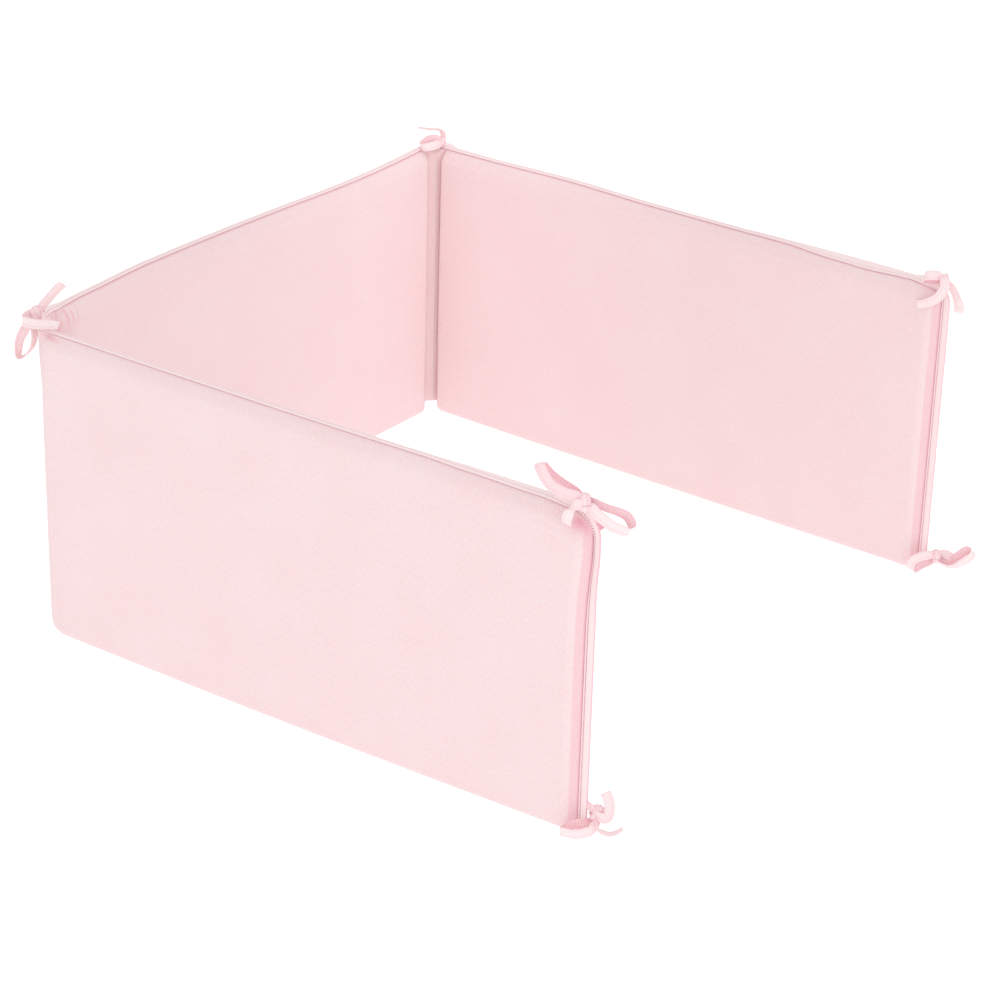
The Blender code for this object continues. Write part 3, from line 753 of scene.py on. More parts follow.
def placed(tree, group, **values):
    """A shader group in a material, with its values."""
    node = tree.nodes.new("ShaderNodeGroup")
    node.node_tree = group
    for label, value in values.items():
        socket = node.inputs[label]
        if isinstance(value, tuple):
            socket.default_value = (*value, 1)
        elif isinstance(value, float):
            socket.default_value = value
        else:
            tree.links.new(value, socket)
    return node


def raised(tree, shader, height, depth, strength):
    """Bump on a material, of a depth in metres."""
    bump = tree.nodes.new("ShaderNodeBump")
    bump.inputs["Strength"].default_value = strength
    bump.inputs["Distance"].default_value = depth
    tree.links.new(height, bump.inputs["Height"])
    tree.links.new(bump.outputs[0], shader.inputs["Normal"])


jersey, jersey_tree, jersey_shader, jersey_lay = cloth_paint("pink_jersey", 0.95)
jersey_dye_and_shade = placed(jersey_tree, dye_and_shade, Lay=jersey_lay, Pale=JERSEY_PALE, Pink=JERSEY_PINK,
                    Crease=JERSEY_PAINTED_SHADE, Streak=0.4)
jersey_knit = placed(jersey_tree, knit, Lay=jersey_lay, Wale=WALE, Course=COURSE)
jersey_tree.links.new(jersey_dye_and_shade.outputs["Color"], jersey_shader.inputs["Base Color"])
raised(jersey_tree, jersey_shader,
       sums(jersey_tree, "ADD", jersey_knit.outputs["Height"],
            sums(jersey_tree, "MULTIPLY", jersey_dye_and_shade.outputs["Mottle"], MOTTLE_HIGH)),
       KNIT_DEEP, 0.5)

cover = piece("jersey_cover", cover_mesh, jersey)
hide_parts("cover")


# ======== The binding
# One length of cross-ribbed elastic tape, 20 mm wide and folded over the cover's raw edge. It
# runs up the free end of side A, along the whole top and down the free end of side C, and is
# sewn down through both layers close to its inner edges.

TAPE_WIDE = 0.0092         # of the folded tape
END_WIDE = 0.0083          # of the same on the free ends
END_LEAN = 24              # its lean near the top of side A's free end, in degrees
LEAN_FROM = 0.19           # the height where that begins
LEAN_OVER = 0.05           # and over how much height it grows
END_THICK = 1.28           # its thickness on the free ends, as a share of the section below
TOP_THINNER = 0.32         # and how much less that is along the top
BINDING_GAP = 0.0003       # between the tape and the cover
BINDING_STEM = 0.0009      # the part that stands straight before the tape leans
BINDING_FOOT = 0.0040      # it stops this far above the floor
BINDING_STEP = 0.0028      # between two sections of its mesh
BEND_STEPS = 18

# The folded tape's cross section, in millimetres: how far up it and how far out from its
# middle. The outer face starts at the sewn edge, dips at the stitches and rounds the fold.
TAPE_OUTER = ((0.0, 0.70), (0.05, 1.00), (0.5, 1.08), (1.3, 1.04), (1.9, 0.92), (2.2, 0.80), (2.5, 0.88),
              (3.2, 0.96), (4.2, 0.98), (5.4, 0.97), (6.8, 0.95), (8.0, 0.88), (8.7, 0.72), (9.1, 0.40),
              (9.2, 0.0))
TAPE_INNER = ((8.65, 0.0), (8.4, 0.28), (7.8, 0.40), (5.0, 0.42), (3.2, 0.38), (2.2, 0.20), (1.5, 0.42),
              (0.6, 0.50), (0.0, 0.50))
# The whole closed section, with the side that each point is on: 1 outside, -1 inside.
TAPE_SECTION = ([(up, out, 1) for up, out in TAPE_OUTER]
                + [(up, -out, -1) for up, out in TAPE_OUTER[-2::-1] + TAPE_INNER[::-1]]
                + [(up, out, 1) for up, out in TAPE_INNER[1:]])

# Where the tape is sewn on: the point on the seam, the way the tape rises from it, the way
# out of the U, its lean and its width there, which is less where the ends stretch it.
Edge = namedtuple("Edge", "seam rise out lean wide")


def end_edges(index, along):
    """The binding's places up a free end and round its top corner, from the floor up."""
    place = pad_place(index, along)
    beyond = place.ahead if along == 1.0 else -place.ahead
    radius = PADS[index].top_last if along == 1.0 else PADS[index].top_first
    bend = seam_height(place) - radius
    steps = int((bend - BINDING_FOOT) / BINDING_STEP)
    edges = []
    for i in range(steps + 1):
        height = BINDING_FOOT + (bend - BINDING_FOOT) * i / steps
        leaned = eased_step((height - LEAN_FROM) / LEAN_OVER) if index == 0 else 0.0
        lean = math.radians(END_LEAN) * leaned
        edges.append(Edge(in_space(place, 0.0, height), beyond, place.outwards, lean, END_WIDE))
    centre = place.point - beyond * radius + UP * bend - SET_MIDDLE
    lean = edges[-1].lean
    step = math.radians(90 / BEND_STEPS)
    clear = radius / math.cos(step / 2)
    for i in range(1, BEND_STEPS):
        rise = beyond * math.cos(step * i) + UP * math.sin(step * i)
        wide = END_WIDE + (TAPE_WIDE - END_WIDE) * i / BEND_STEPS
        seam = centre + rise * clear
        if index == 0:
            seam += beyond * end_fullness(seam.z) * math.cos(step * i)
        edges.append(Edge(seam, rise, place.outwards, lean * (1 - i / BEND_STEPS), wide))
    return edges


binding_edges = end_edges(0, 0.0)
for index, pad in enumerate(PADS):
    length = pad_length(pad)
    start = pad.top_first / length if index == 0 else 0.0
    stop = 1.0 - pad.top_last / length if index == len(PADS) - 1 else 1.0
    steps = int((stop - start) * length / BINDING_STEP)
    places = [pad_place(index, start + (stop - start) * i / steps) for i in range(steps + 1)]
    if index < len(PADS) - 1:
        places += [strip_place(index, i / STRIP_STEPS) for i in range(1, STRIP_STEPS)]
    for place in places:
        seam = in_space(place, 0.0, seam_height(place))
        binding_edges.append(Edge(seam, UP, place.outwards, leaning_at(place)[0], TAPE_WIDE))
binding_edges += end_edges(len(PADS) - 1, 1.0)[::-1]


def tape_point(edge, up_tape, out):
    """A point of the folded tape: a straight stem, then the leaning band. It is flatter along
    the top than on the ends."""
    out *= END_THICK - TOP_THINNER * edge.rise.z
    up_tape *= edge.wide / TAPE_WIDE
    tilt_rise = edge.rise * math.cos(edge.lean) + edge.out * math.sin(edge.lean)
    tilt_out = edge.out * math.cos(edge.lean) - edge.rise * math.sin(edge.lean)
    turned = eased_step(up_tape / (2 * BINDING_STEM))
    across = (edge.out.lerp(tilt_out, turned)).normalized()
    spine = edge.rise * min(up_tape, BINDING_STEM) + tilt_rise * max(up_tape - BINDING_STEM, 0.0)
    return edge.seam + edge.rise * BINDING_GAP + spine + across * out


WAVE_HIGH = 0.00028        # the band's free edge isn't quite straight
ROW_UP = 2.2               # how far up the tape its row of stitches is, in millimetres
SEWN_EDGE_SHADE = 0.25           # how much painted shade the tape has along its sewn edge,
STITCH_ROW_SHADE = 0.08            # under the stitches
OUTER_FOLD_SHADE = 0.40          # and round its outer fold,
OUTER_FROM = 8.2           # from this far up it
TOP_SHARE = 0.4            # and how much of that is left along the lit top

edge_runs = [0.0]
for before, after in zip(binding_edges, binding_edges[1:]):
    edge_runs.append(edge_runs[-1] + (after.seam - before.seam).length)


def on_end(edge):
    """Whether the tape rises sideways from its seam here, as it does on the free ends."""
    return abs(edge.rise.z) < 0.9


binding_rings = []
for edge, run in zip(binding_edges, edge_runs):
    wave = WAVE_HIGH * (uneven(run * 45, 0.0, 2.0) + 0.6 * uneven(run * 130, 3.0, 2.0))
    ring = []
    for up, out, side in TAPE_SECTION:
        share = up / 1000 / TAPE_WIDE
        sway = wave * share * share
        point = tape_point(edge, up / 1000 + sway * 0.8, out / 1000 + sway)
        # Painted shade along the sewn edge, under the stitches and round the outer fold, less on the lit
        # top.
        deep = SEWN_EDGE_SHADE * bell(up, 0.4) + STITCH_ROW_SHADE * bell(up - ROW_UP, 0.35)
        deep += OUTER_FOLD_SHADE * eased_step((up - OUTER_FROM) / 0.8)
        deep *= 1.0 if on_end(edge) else TOP_SHARE
        ring.append((point, (run, up / 1000 * side, min(deep, 1.0))))
    binding_rings.append(ring)
binding_mesh = cloth_mesh("tape_binding", [(binding_rings, False)])

# -------- Tape: soft elastic webbing with ribs across it, and finer threads along it.
THREAD_PITCH = 0.0014
THREAD_SHARE = 0.4         # how strong the threads are, against the ribs, in the gaps
THREAD_LOW = 0.25          # and how much of that is left in the relief
GAPS_FROM = -0.6           # the relief below which a gap shows,
GAPS_FULL = -1.35          # and below which it is darkest
MIDDLE_SHARE = 0.45        # how much of a gap shows in the tape's middle

ribs, ribs_in, ribs_out, ribs_lay = cloth_group(
    "cross_ribs",
    (("Pitch", "NodeSocketFloat"), ("Middle", "NodeSocketFloat"), ("Edge", "NodeSocketFloat")),
    (("Height", "NodeSocketFloat"), ("Between", "NodeSocketFloat")))
rib_turn = sums(ribs, "MULTIPLY", sums(ribs, "DIVIDE", ribs_lay["X"], ribs_in.outputs["Pitch"]),
                2 * math.pi)
rib_wave = sums(ribs, "COSINE", rib_turn)
thread_turn = sums(ribs, "MULTIPLY", ribs_lay["Y"], 2 * math.pi / THREAD_PITCH)
thread = sums(ribs, "MULTIPLY", sums(ribs, "COSINE", thread_turn), THREAD_SHARE)
low_thread = sums(ribs, "MULTIPLY", thread, THREAD_LOW)
ribs.links.new(sums(ribs, "ADD", rib_wave, low_thread), ribs_out.inputs["Height"])
# Painted shade in the gaps between the ribs, most along the tape's edges, where it bends.
between = ranged(ribs, sums(ribs, "ADD", rib_wave, thread), GAPS_FROM, GAPS_FULL, 0.0, 1.0)
across = sums(ribs, "ABSOLUTE", ribs_lay["Y"])
from_edge = sums(ribs, "DIVIDE", sums(ribs, "SUBTRACT", across, ribs_in.outputs["Middle"]),
                 sums(ribs, "SUBTRACT", ribs_in.outputs["Edge"], ribs_in.outputs["Middle"]))
at_edge = ranged(ribs, from_edge, 0.0, 1.0, MIDDLE_SHARE, 1.0)
ribs.links.new(sums(ribs, "MULTIPLY", between, at_edge), ribs_out.inputs["Between"])

TAPE_PALE = (0.978, 0.838, 0.836)
TAPE_PINK = (0.955, 0.755, 0.762)
# The tape's colour where it has painted shade, in its folds, seams and rib gaps.
TAPE_PAINTED_SHADE = (0.86, 0.36, 0.46)
BINDING_RIB = 0.0023
LIT_GAPS = 0.22            # how dark the painted shade in the gaps is in a lit run of tape
SHADE_GAPS = 3.4           # and how fast it darkens as the tape lies in deeper painted shade


def tape_paint(name, rib_pitch, rib_depth, between, middle, edge):
    """The tape's material, with its ribs this far apart and this deep, and painted shade in the
    gaps between them so dark. Its edge begins and ends this far across it."""
    made, tree, shader, lay = cloth_paint(name, 0.88)
    colour = placed(tree, dye_and_shade, Lay=lay, Pale=TAPE_PALE, Pink=TAPE_PINK, Crease=TAPE_PAINTED_SHADE, Streak=0.3)
    ribbing = placed(tree, ribs, Lay=lay, Pitch=rib_pitch, Middle=middle, Edge=edge)
    parts = tree.nodes.new("ShaderNodeSeparateXYZ")
    tree.links.new(lay, parts.inputs[0])
    # The gaps between the ribs get painted shade, darker where the tape has more painted shade.
    shaded = sums(tree, "MULTIPLY_ADD", parts.outputs["Z"], SHADE_GAPS, LIT_GAPS)
    gap_shade = sums(tree, "MULTIPLY", ribbing.outputs["Between"], sums(tree, "MULTIPLY", shaded, between))
    tree.links.new(mixed(tree, gap_shade, colour.outputs["Color"], TAPE_PAINTED_SHADE), shader.inputs["Base Color"])
    raised(tree, shader, ribbing.outputs["Height"], rib_depth, 0.6)
    return made


binding_tape = tape_paint("binding_tape", BINDING_RIB, rib_depth=0.00016, between=0.85,
                          middle=0.0066, edge=0.0090)
binding = piece("tape_binding", binding_mesh, binding_tape)
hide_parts("binding")

# -------- The row of stitches that holds the tape, on both of its faces.
STITCH_PITCH = 0.0023
STITCH_LONG = 0.0011
STITCH_THICK = 0.00050
STITCH_OUT = 0.00090
STITCH_TOP_SHADE = 0.35     # how much painted shade its thread has along the top, against the ends
STITCH_SIDES = 5
STITCH_ROUND = ((-0.5, 0.35), (-0.3, 1.0), (0.3, 1.0), (0.5, 0.35))   # along it, and thickness
stitch_tubes = []
segment = 0
for number in range(int(edge_runs[-1] / STITCH_PITCH)):
    at = (number + 0.5) * STITCH_PITCH
    while edge_runs[segment + 1] < at:
        segment += 1
    before, after = binding_edges[segment], binding_edges[segment + 1]
    share = (at - edge_runs[segment]) / (edge_runs[segment + 1] - edge_runs[segment])
    forward = (after.seam - before.seam).normalized()
    rise = forward.cross(before.out).normalized()
    turns = [2 * math.pi * k / STITCH_SIDES for k in range(STITCH_SIDES)]
    # The thread has painted shade, full on the free ends and less on the lit top.
    lay = (at, 0.0, 1.0 if on_end(before) else STITCH_TOP_SHADE)
    for out in (STITCH_OUT, -STITCH_OUT):
        middle = tape_point(before, ROW_UP / 1000, out).lerp(tape_point(after, ROW_UP / 1000, out), share)
        rings = []
        for along, thick in STITCH_ROUND:
            rings.append([(middle + forward * along * STITCH_LONG
                           + (before.out * math.cos(turn) + rise * math.sin(turn)) * thick * STITCH_THICK,
                           lay) for turn in turns])
        stitch_tubes.append((rings, False))
stitch_mesh = cloth_mesh("binding_stitches", stitch_tubes)

# The thread's colour where it has painted shade.
THREAD_PAINTED_SHADE = (0.60, 0.20, 0.28)
thread_paint, thread_tree, thread_shader, thread_lay = cloth_paint("sewing_thread", 0.7)
thread_dye_and_shade = placed(thread_tree, dye_and_shade, Lay=thread_lay, Pale=TAPE_PALE, Pink=TAPE_PINK, Crease=THREAD_PAINTED_SHADE,
                    Streak=0.3)
thread_tree.links.new(thread_dye_and_shade.outputs["Color"], thread_shader.inputs["Base Color"])
stitches = piece("binding_stitches", stitch_mesh, thread_paint)


# ======== The bows
# Each is a pair of ties of the same tape, folded and sewn flat to 9 mm, and tied in a bow. A
# tie is sewn to the binding at the knot. The loops and cut ends lie as they fell.

TIE_WIDE = 0.0090
TIE_THICK = 0.0013
ROOT_WIDE = 0.0050
TIE_RIB = 0.0026           # between two ribs of the tape, which is stretched by the tying
TIE_RIB_HIGH = 0.00007
TIE_STEP = TIE_RIB / 4     # between two sections of its mesh
TIE_CUP = 0.00045          # how much its edges curl up
TIE_FOLD_AT = -0.48        # where its fold line runs, from -1 at one edge to 1 at the other
TIE_FOLD_DEEP = 0.00022
TIE_FOLD_WIDE = 0.07
KNOT_SHADE = 0.26          # how much painted shade a tie has at its knot,
KNOT_SHADE_REACH = 0.006   # over this much of it,
INNER_SHADE = 0.26         # on the side that faces a loop's middle,
LINE_SHADE = 0.22          # and along its fold line and its edges
GATHER_REACH = 0.009       # how far from the knot it has its full width
RIB_SWELL = 0.012          # how far its ribs stand out at its edges, as a share of its width

# Each bow, in millimetres: its knot and the place where its tie is sewn on, both from the
# corner of A and B, the knot's size to the right, up and near, and the way the binding runs
# where the tie is sewn. Right, up and near are those of the view above.
Bow = namedtuple("Bow", "name knot size sewn runs")
BOWS = (
    Bow("bow_front_top", (621, 8, 302), (8.5, 13, 8), (620.5, 13.6, 292.2), (-3, 0, 2)),
    Bow("bow_front_bottom", (641.2, 16, 21), (9, 13, 8), (634.4, 14.2, 20), (0, 0, 1)),
    Bow("bow_corner_left", (7, 23, 300), (10, 12.5, 9), (10.5, 25.1, 295.4), (-5, 8, 0)),
    Bow("bow_corner_back", (-2, 632, 306), (7, 7, 6), (-6.6, 635.0, 297.6), (10, 3, 0)),
    Bow("bow_right_top", (601, 622, 304), (9, 7, 8), (597.3, 627.8, 297.5), (-7, 0, 4)),
    Bow("bow_right_bottom", (617, 629, 17), (8.5, 12.5, 8), (608.2, 628.5, 17), (0, 0, 1)),
)

# The loops and free ends. Each runs through its points, which are (right, up, near) from the
# knot. Its flat width points along wide_first at its start, wide_middle halfway and wide_last
# at its end. deep is how much more painted shade it has than the others, and start how wide
# its start is, as a share of its full width.
Tie = namedtuple("Tie", "bow wide_first wide_middle wide_last points deep start", defaults=(0.0, 0.62))
TIES = (
    Tie("bow_front_top", (3, 9, -4), (10, 1, 0), (6, 7, -3), (
        (1, 0, 2), (-6, 6, 3), (-15, 10, 6), (-22, 14, 7), (-28, 18, 6), (-33, 25, 4),
        (-36, 31, 1), (-35, 31, -3), (-32, 26, -5), (-26, 19, -6), (-18, 13, -5), (-9, 8, -3),
        (-1, 3, -2)), 0.16),
    Tie("bow_front_top", (5, 7, -4), (6, 8, 1), (5, 8, 5), (
        (-1, 0, 3), (6, -4, 3), (11, -9, 5), (17, -13, 6), (23, -18, 6), (30, -21, 5),
        (35, -23, 4), (39, -21, 0), (37, -17, -4), (34, -14, -6), (27, -11, -7), (19, -8, -6),
        (11, -4, -5), (0, 3, -3))),
    Tie("bow_front_top", (2, 9, -4), (6, 6, 0), (7, 0, 6), (
        (2, 1, 3), (-5, 1, 6), (-10, -2, 5), (-12, -8, 3), (-13, -14, 1), (-13, -20, 0))),
    Tie("bow_front_top", (5, 7, -3), (5, 7, -3), (5, 7, -3), (
        (-1, 0, -2), (5, -4, -7), (8, -14, -11), (12, -22, -12), (15, -30, -13)), 0.7),
    Tie("bow_front_bottom", (-2, 9, -4), (0, 8, 2), (0, 9, -4), (
        (2, -4, 1), (-1, -8, 5), (-5, -12, 9), (-10, -13, 11), (-15, -14, 12), (-21, -14, 12),
        (-27, -13, 11), (-30, -14, 8), (-28, -14, 5), (-24, -12, 3), (-18, -10, 2),
        (-11, -11, 1), (-5, -10, -1), (0, -5, -2))),
    Tie("bow_front_bottom", (1, 9, -2), (-7, 6, -1), (-7, -5, 3), (
        (-9, 6, -5), (-4, 4, 1), (2, 0, 6), (8, -1, 6), (10, 6, 4), (9, 14, 3), (6, 20, 1)), 0.05),
    Tie("bow_front_bottom", (3, 0, 9), (0, 1, 9), (0, 2, 9), (
        (-1, -1, 1), (-1, -7, 5), (2, -11, 9), (8, -13, 11), (13, -13, 11), (18, -11, 10),
        (21, -9, 9))),
    Tie("bow_corner_left", (-7, 5, 4), (-7, 5, 4), (-7, 5, 4), (
        (0, 0, -1), (5, 7, -2), (11, 14, -3), (18, 22, -4), (23, 27, -4))),
    Tie("bow_corner_left", (1, 8, 2), (0, 7, -4), (0, 4, -8), (
        (0, 1, -2), (-6, -1, 0), (-11, -4, 3), (-12, -5, 8), (-6, -4, 15), (2, -1, 25),
        (10, 3, 36), (19, 6, 43), (26, 6, 44))),
    Tie("bow_corner_left", (8, 3, 2), (3, 1, -8), (5, 0, -7), (
        (-1, -1, 2), (-8, -10, 3), (-13, -18, 3), (-17, -27, 4), (-18, -35, 4), (-18, -41, 4),
        (-15, -42, 4), (-10, -39, 2), (-5, -32, 1), (-3, -23, 1), (-3, -15, 0), (0, -2, -2)),
        -0.18),
    Tie("bow_corner_back", (-2, 8, -3), (-4, 8, 1), (-4, 7, -1), (
        (-1, 1, -2), (-6, 3, 2), (-14, 3, 6), (-18, 1, 9), (-21, -1, 11), (-21.5, -2, 14),
        (-18, -2, 16), (-12, -1, 15), (-6, -1, 9), (0, -1, 2))),
    Tie("bow_corner_back", (8, 0, 3), (5, 3, 7), (0, 4, 8), (
        (0, 0, -1), (0, 2, -3), (0, 7, -4), (-4, 11, -4), (-14, 11, -5), (-26, 12, -6))),
    Tie("bow_right_top", (0, 9, -2), (3, 8, -3), (0, 9, -2), (
        (0, 1, 2), (-6, 5, 2), (-13, 5, 1), (-17, 3, -2), (-18, -1, -6), (-14, -2, -7),
        (-7, -2, -5), (0, -1, -2))),
    Tie("bow_right_top", (10, 1, 0), (8, -6, 3), (5, -8, 3), (
        (-1, 6, 0), (0, 3, 5), (1, -3, 6), (-1, -10, 5), (-5, -17, 3), (-11, -22, 0), (-17, -26, -4),
        (-22, -28, -8)), 0.0, 1.0),
    Tie("bow_right_top", (7, 4, 4), (6, 0, 5), (9, -2, 0), (
        (1, 0, 0), (7, -6, -2), (12, -13, -2), (15, -20, -1), (17, -27, 0), (16, -32, 1))),
    Tie("bow_right_bottom", (0, 9, -3), (-8, 4, -2), (-3, 7, -3), (
        (0, 1, 2), (-8, 3, 4), (-16, 3, 8), (-23, 0, 10), (-26, -5, 11), (-24, -10, 10),
        (-19, -9, 7), (-14, -7, 4), (-7, -5, 1), (0, -1, -2))),
    Tie("bow_right_bottom", (0, 5, 8), (-5, 6, 1), (-3, 8, -4), (
        (0, -3, 2), (6, -6, 4), (12, -8, 5), (18, -7, 6), (25, -4, 5), (31, 0, 4), (35, 4, 2),
        (34, 7, -1), (29, 5, -3), (23, 0, -3), (15, -5, -2), (8, -5, -1), (0, 0, -2))),
    Tie("bow_right_bottom", (0, 9, -3), (0, 9, -3), (5, 6, -3), (
        (1, 2, 0), (7, 2, -2), (13, -1, -3), (17, -5, -3))),
)


def seen(offset):
    """The space vector of an offset in millimetres to the right, up and near."""
    right, up, near = (x / 1000 for x in offset)
    return view_right * right + UP * up + view_near * near


def smooth_path(points, widths, spacing):
    """Evenly spaced points of a smooth curve through the given ones, each with its distance
    along the curve and the direction of the tape's width."""
    padded = [points[0] * 2 - points[1], *points, points[-1] * 2 - points[-2]]
    fine = []
    spans = len(points) - 1
    for i, (a, b, c, d) in enumerate(zip(padded, padded[1:], padded[2:], padded[3:])):
        for j in range(16):
            t = j / 16
            fine.append((0.5 * (2 * b + (c - a) * t + (2 * a - 5 * b + 4 * c - d) * t ** 2
                                + (3 * b - a - 3 * c + d) * t ** 3), (i + t) / spans))
    fine.append((points[-1], 1.0))
    runs = [0.0]
    for (before, _), (after, _) in zip(fine, fine[1:]):
        runs.append(runs[-1] + (after - before).length)
    count = max(3, round(runs[-1] / spacing))
    path = []
    k = 0
    for i in range(count + 1):
        run = runs[-1] * i / count
        while k < len(runs) - 2 and runs[k + 1] < run:
            k += 1
        share = (run - runs[k]) / max(runs[k + 1] - runs[k], 1e-9)
        point = fine[k][0].lerp(fine[k + 1][0], share)
        at = (fine[k][1] + (fine[k + 1][1] - fine[k][1]) * share) * (len(widths) - 1)
        before = min(int(at), len(widths) - 2)
        path.append([point, run, widths[before].lerp(widths[before + 1], at - before)])
    return path


def square_to(way, ahead):
    """A direction, made square to another."""
    return (way - ahead * way.dot(ahead)).normalized()


# Places across a tape, from -1 at one edge to 1 at the other, on its upper face. The lower
# face runs back through the same places.
ACROSS = (-1.0, -0.93, -0.72, -0.56, -0.48, -0.40, -0.12, 0.25, 0.62, 0.90, 1.0)


def ribbon(path, wide, thick, loop_middle=None, shade=0.0, start=1.0):
    """One tie as a closed tube along its path, ribbed across, with a fold line and curled edges,
    and drawn together at the knot. The side that faces a loop's middle has painted shade, and
    so has the part at the knot. shade adds to the painted shade of all of it."""
    points = [point for point, run, width in path]
    frames = []
    for i, (point, run, width) in enumerate(path):
        ahead = (points[min(i + 1, len(points) - 1)] - points[max(i - 1, 0)]).normalized()
        frames.append((ahead, square_to(width, ahead)))
    rings = []
    total = path[-1][1]
    for i, (point, run, _) in enumerate(path):
        ahead = frames[i][0]
        near_widths = [frames[k][1] for k in range(max(i - 4, 0), min(i + 5, len(frames)))]
        width = square_to(sum(near_widths, Vector()), ahead)
        normal = ahead.cross(width)
        inner = 0.0
        if loop_middle is not None:
            inner = 1.0 if normal.dot(loop_middle - point) > 0 else -1.0
        rib = math.cos(2 * math.pi * run / TIE_RIB)
        from_knot = min(run, total - run) if loop_middle is not None else run
        near_knot = math.exp(-from_knot / KNOT_SHADE_REACH)
        gathered = start + (1 - start) * eased_step(from_knot / GATHER_REACH)
        ring = []
        for face in (1, -1):
            for u in ACROSS if face == 1 else ACROSS[::-1]:
                edge = math.sqrt(max(0.0, 1 - abs(u) ** 6))
                line = bell(u - TIE_FOLD_AT, TIE_FOLD_WIDE)
                bulge = thick / 2 * (0.35 + 0.65 * edge) + TIE_RIB_HIGH * rib * edge
                lift = TIE_CUP * (u * u - 0.35) + face * (bulge - TIE_FOLD_DEEP * line)
                swell = 1 + RIB_SWELL * rib
                # Painted shade: at the knot, on the side facing a loop's middle, along the fold line and
                # the edges.
                deep = shade + KNOT_SHADE * near_knot + (INNER_SHADE if face * inner > 0 else 0.0)
                deep += LINE_SHADE * (line + abs(u) ** 10)
                ring.append((point + width * u * wide / 2 * swell * gathered + normal * lift,
                             (run, u * wide / 2, min(deep, 1.0))))
        rings.append(ring)
    return rings, False


WRAP_STEPS = 44
WRAP_THICK = 0.0010
WRAP_DRAWN = 0.42          # how far it is drawn in at its sides
PLEAT_TURNS = 2.3          # how many half pleats lie across it
PLEAT_HIGH = 0.00028
WRAP_SHADE = 0.10           # how much painted shade its outer face has,
PLEAT_SHADE = 0.30          # how much more there is in the pleats
DRAWN_SHADE = 0.50          # and at its drawn-in sides,
INSIDE_SHADE = 0.70         # and how much its inner face has
BOXINESS = 0.8             # 1 makes a knot round, less makes it squarer
WRAP_ACROSS = (-1.0, -0.96, -0.86, -0.7, -0.5, -0.3, -0.1, 0.1, 0.3, 0.5, 0.7, 0.86, 0.96, 1.0)


def boxy(x):
    """A share of a knot's half size, from -1 to 1, pushed outwards."""
    return math.copysign(abs(x) ** BOXINESS, x)


def wrap(knot, size, slant, grow=1.0, seed=0.0):
    """The turn of tape round a knot, drawn in at both sides and pleated lengthwise."""
    half_right, half_up, half_near = (s / 2000 * grow for s in size)
    axis = (view_right + UP * slant).normalized()
    rise = square_to(UP, axis)
    rings = []
    run = 0.0
    before = None
    for i in range(WRAP_STEPS):
        turn = 2 * math.pi * i / WRAP_STEPS
        outward = rise * boxy(math.sin(turn)) * half_up + view_near * boxy(math.cos(turn)) * half_near
        if before is not None:
            run += (outward - before).length
        before = outward
        out = outward.normalized()
        rib = TIE_RIB_HIGH * math.cos(2 * math.pi * run / TIE_RIB)
        ring = []
        for face in (1, -1):
            for u in WRAP_ACROSS if face == 1 else WRAP_ACROSS[::-1]:
                pleat = math.cos(PLEAT_TURNS * math.pi * u + seed + 0.9 * math.sin(turn + seed))
                shrink = 1 - WRAP_DRAWN * abs(u) ** 2.6
                edge = math.sqrt(max(0.0, 1 - abs(u) ** 8))
                # Painted shade in the pleats, at the drawn-in sides and on the inner face.
                if face == 1:
                    out_by = (rib + PLEAT_HIGH * pleat) * edge
                    deep = WRAP_SHADE + PLEAT_SHADE * max(0.0, -pleat) + DRAWN_SHADE * abs(u) ** 5
                else:
                    out_by = -WRAP_THICK * (0.3 + 0.7 * edge)
                    deep = INSIDE_SHADE
                ring.append((knot + outward * shrink + out * out_by + axis * u * half_right,
                             (run, u * half_right, min(deep, 1.0))))
        rings.append(ring)
    return rings, True


CORE_RINGS = 12
CORE_SIDES = 20
CORE_SHARE = 0.95          # its size, against the knot's
CORE_ROUGH = 0.10
CORE_SHADE = 0.75


def packed_core(knot, size):
    """The crumpled tape inside the knot, a small uneven ball with painted shade."""
    rings = []
    for i in range(1, CORE_RINGS):
        tilt = math.pi * i / CORE_RINGS
        ring = []
        for j in range(CORE_SIDES):
            turn = 2 * math.pi * j / CORE_SIDES
            way = (math.cos(tilt), math.sin(tilt) * math.sin(turn), math.sin(tilt) * math.cos(turn))
            rough = 1 + CORE_ROUGH * uneven(*(Vector(way) * 2.7 + knot * 90))
            offset = [boxy(x) * s / 2 * CORE_SHARE * rough for x, s in zip(way, size)]
            ring.append((knot + seen(offset), (tilt * 0.006, turn * 0.003, CORE_SHADE)))
        rings.append(ring)
    return rings, False


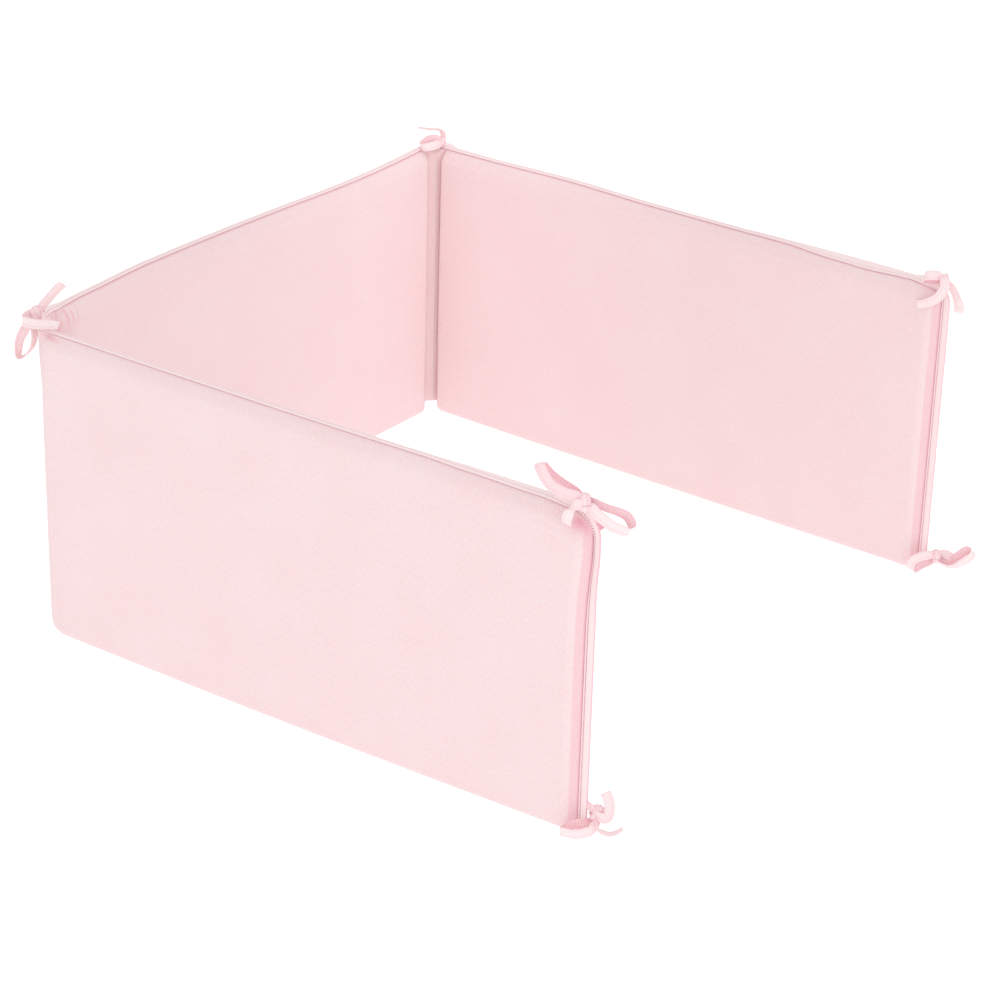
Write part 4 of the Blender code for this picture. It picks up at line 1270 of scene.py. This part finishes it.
# Some knots have a second, slanting turn: its slant and how much it has grown.
SECOND_TURNS = {"bow_corner_left": (0.9, 1.04), "bow_front_bottom": (-0.7, 1.03)}

# How much larger each knot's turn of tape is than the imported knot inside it, to the right,
# up and near.
TURN_GROWS = {
    "bow_front_top": (1.25, 1.25, 1.5), "bow_front_bottom": (1.0, 1.1, 1.3),
    "bow_corner_left": (1.0, 1.05, 1.3), "bow_corner_back": (1.0, 1.1, 1.3),
    "bow_right_top": (1.0, 1.3, 1.4), "bow_right_bottom": (1.0, 1.15, 1.4),
}

LOOP_SHUT = 0.012          # a tie whose ends are nearer than this is a loop

tie_tape = tape_paint("tie_tape", TIE_RIB, rib_depth=0.00012, between=0.85, middle=0.0022, edge=0.0044)
for bow in BOWS:
    knot = Vector(bow.knot) / 1000 - SET_MIDDLE
    sewn = Vector(bow.sewn) / 1000 - SET_MIDDLE
    size = [s * grow for s, grow in zip(bow.size, TURN_GROWS[bow.name])]
    tubes = [packed_core(knot, bow.size), wrap(knot, size, 0.0)]
    if bow.name in SECOND_TURNS:
        slant, grow = SECOND_TURNS[bow.name]
        tubes.append(wrap(knot, size, slant, grow, seed=2.0))
    tape_long = 2 * math.pi * bow.size[1] / 2000 * (len(tubes) - 1)
    for tie in TIES:
        if tie.bow != bow.name:
            continue
        points = [knot + seen(point) for point in tie.points]
        widths = [seen(width) for width in (tie.wide_first, tie.wide_middle, tie.wide_last)]
        path = smooth_path(points, widths, TIE_STEP)
        is_loop = (points[0] - points[-1]).length < LOOP_SHUT
        middle = sum(points, Vector()) / len(points) if is_loop else None
        tubes.append(ribbon(path, TIE_WIDE, TIE_THICK, middle, tie.deep, tie.start))
        tape_long += path[-1][1]
    runs = Vector(bow.runs) / 1000
    stump = smooth_path([knot.lerp(sewn, 0.1), knot.lerp(sewn, 0.55), sewn], [runs, runs], TIE_STEP)
    tubes.append(ribbon(stump, ROOT_WIDE, TIE_THICK))
    tape_long += stump[-1][1]
    dressed = piece("tape_" + bow.name, cloth_mesh("tape_" + bow.name, tubes), tie_tape)
    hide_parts(bow.name)
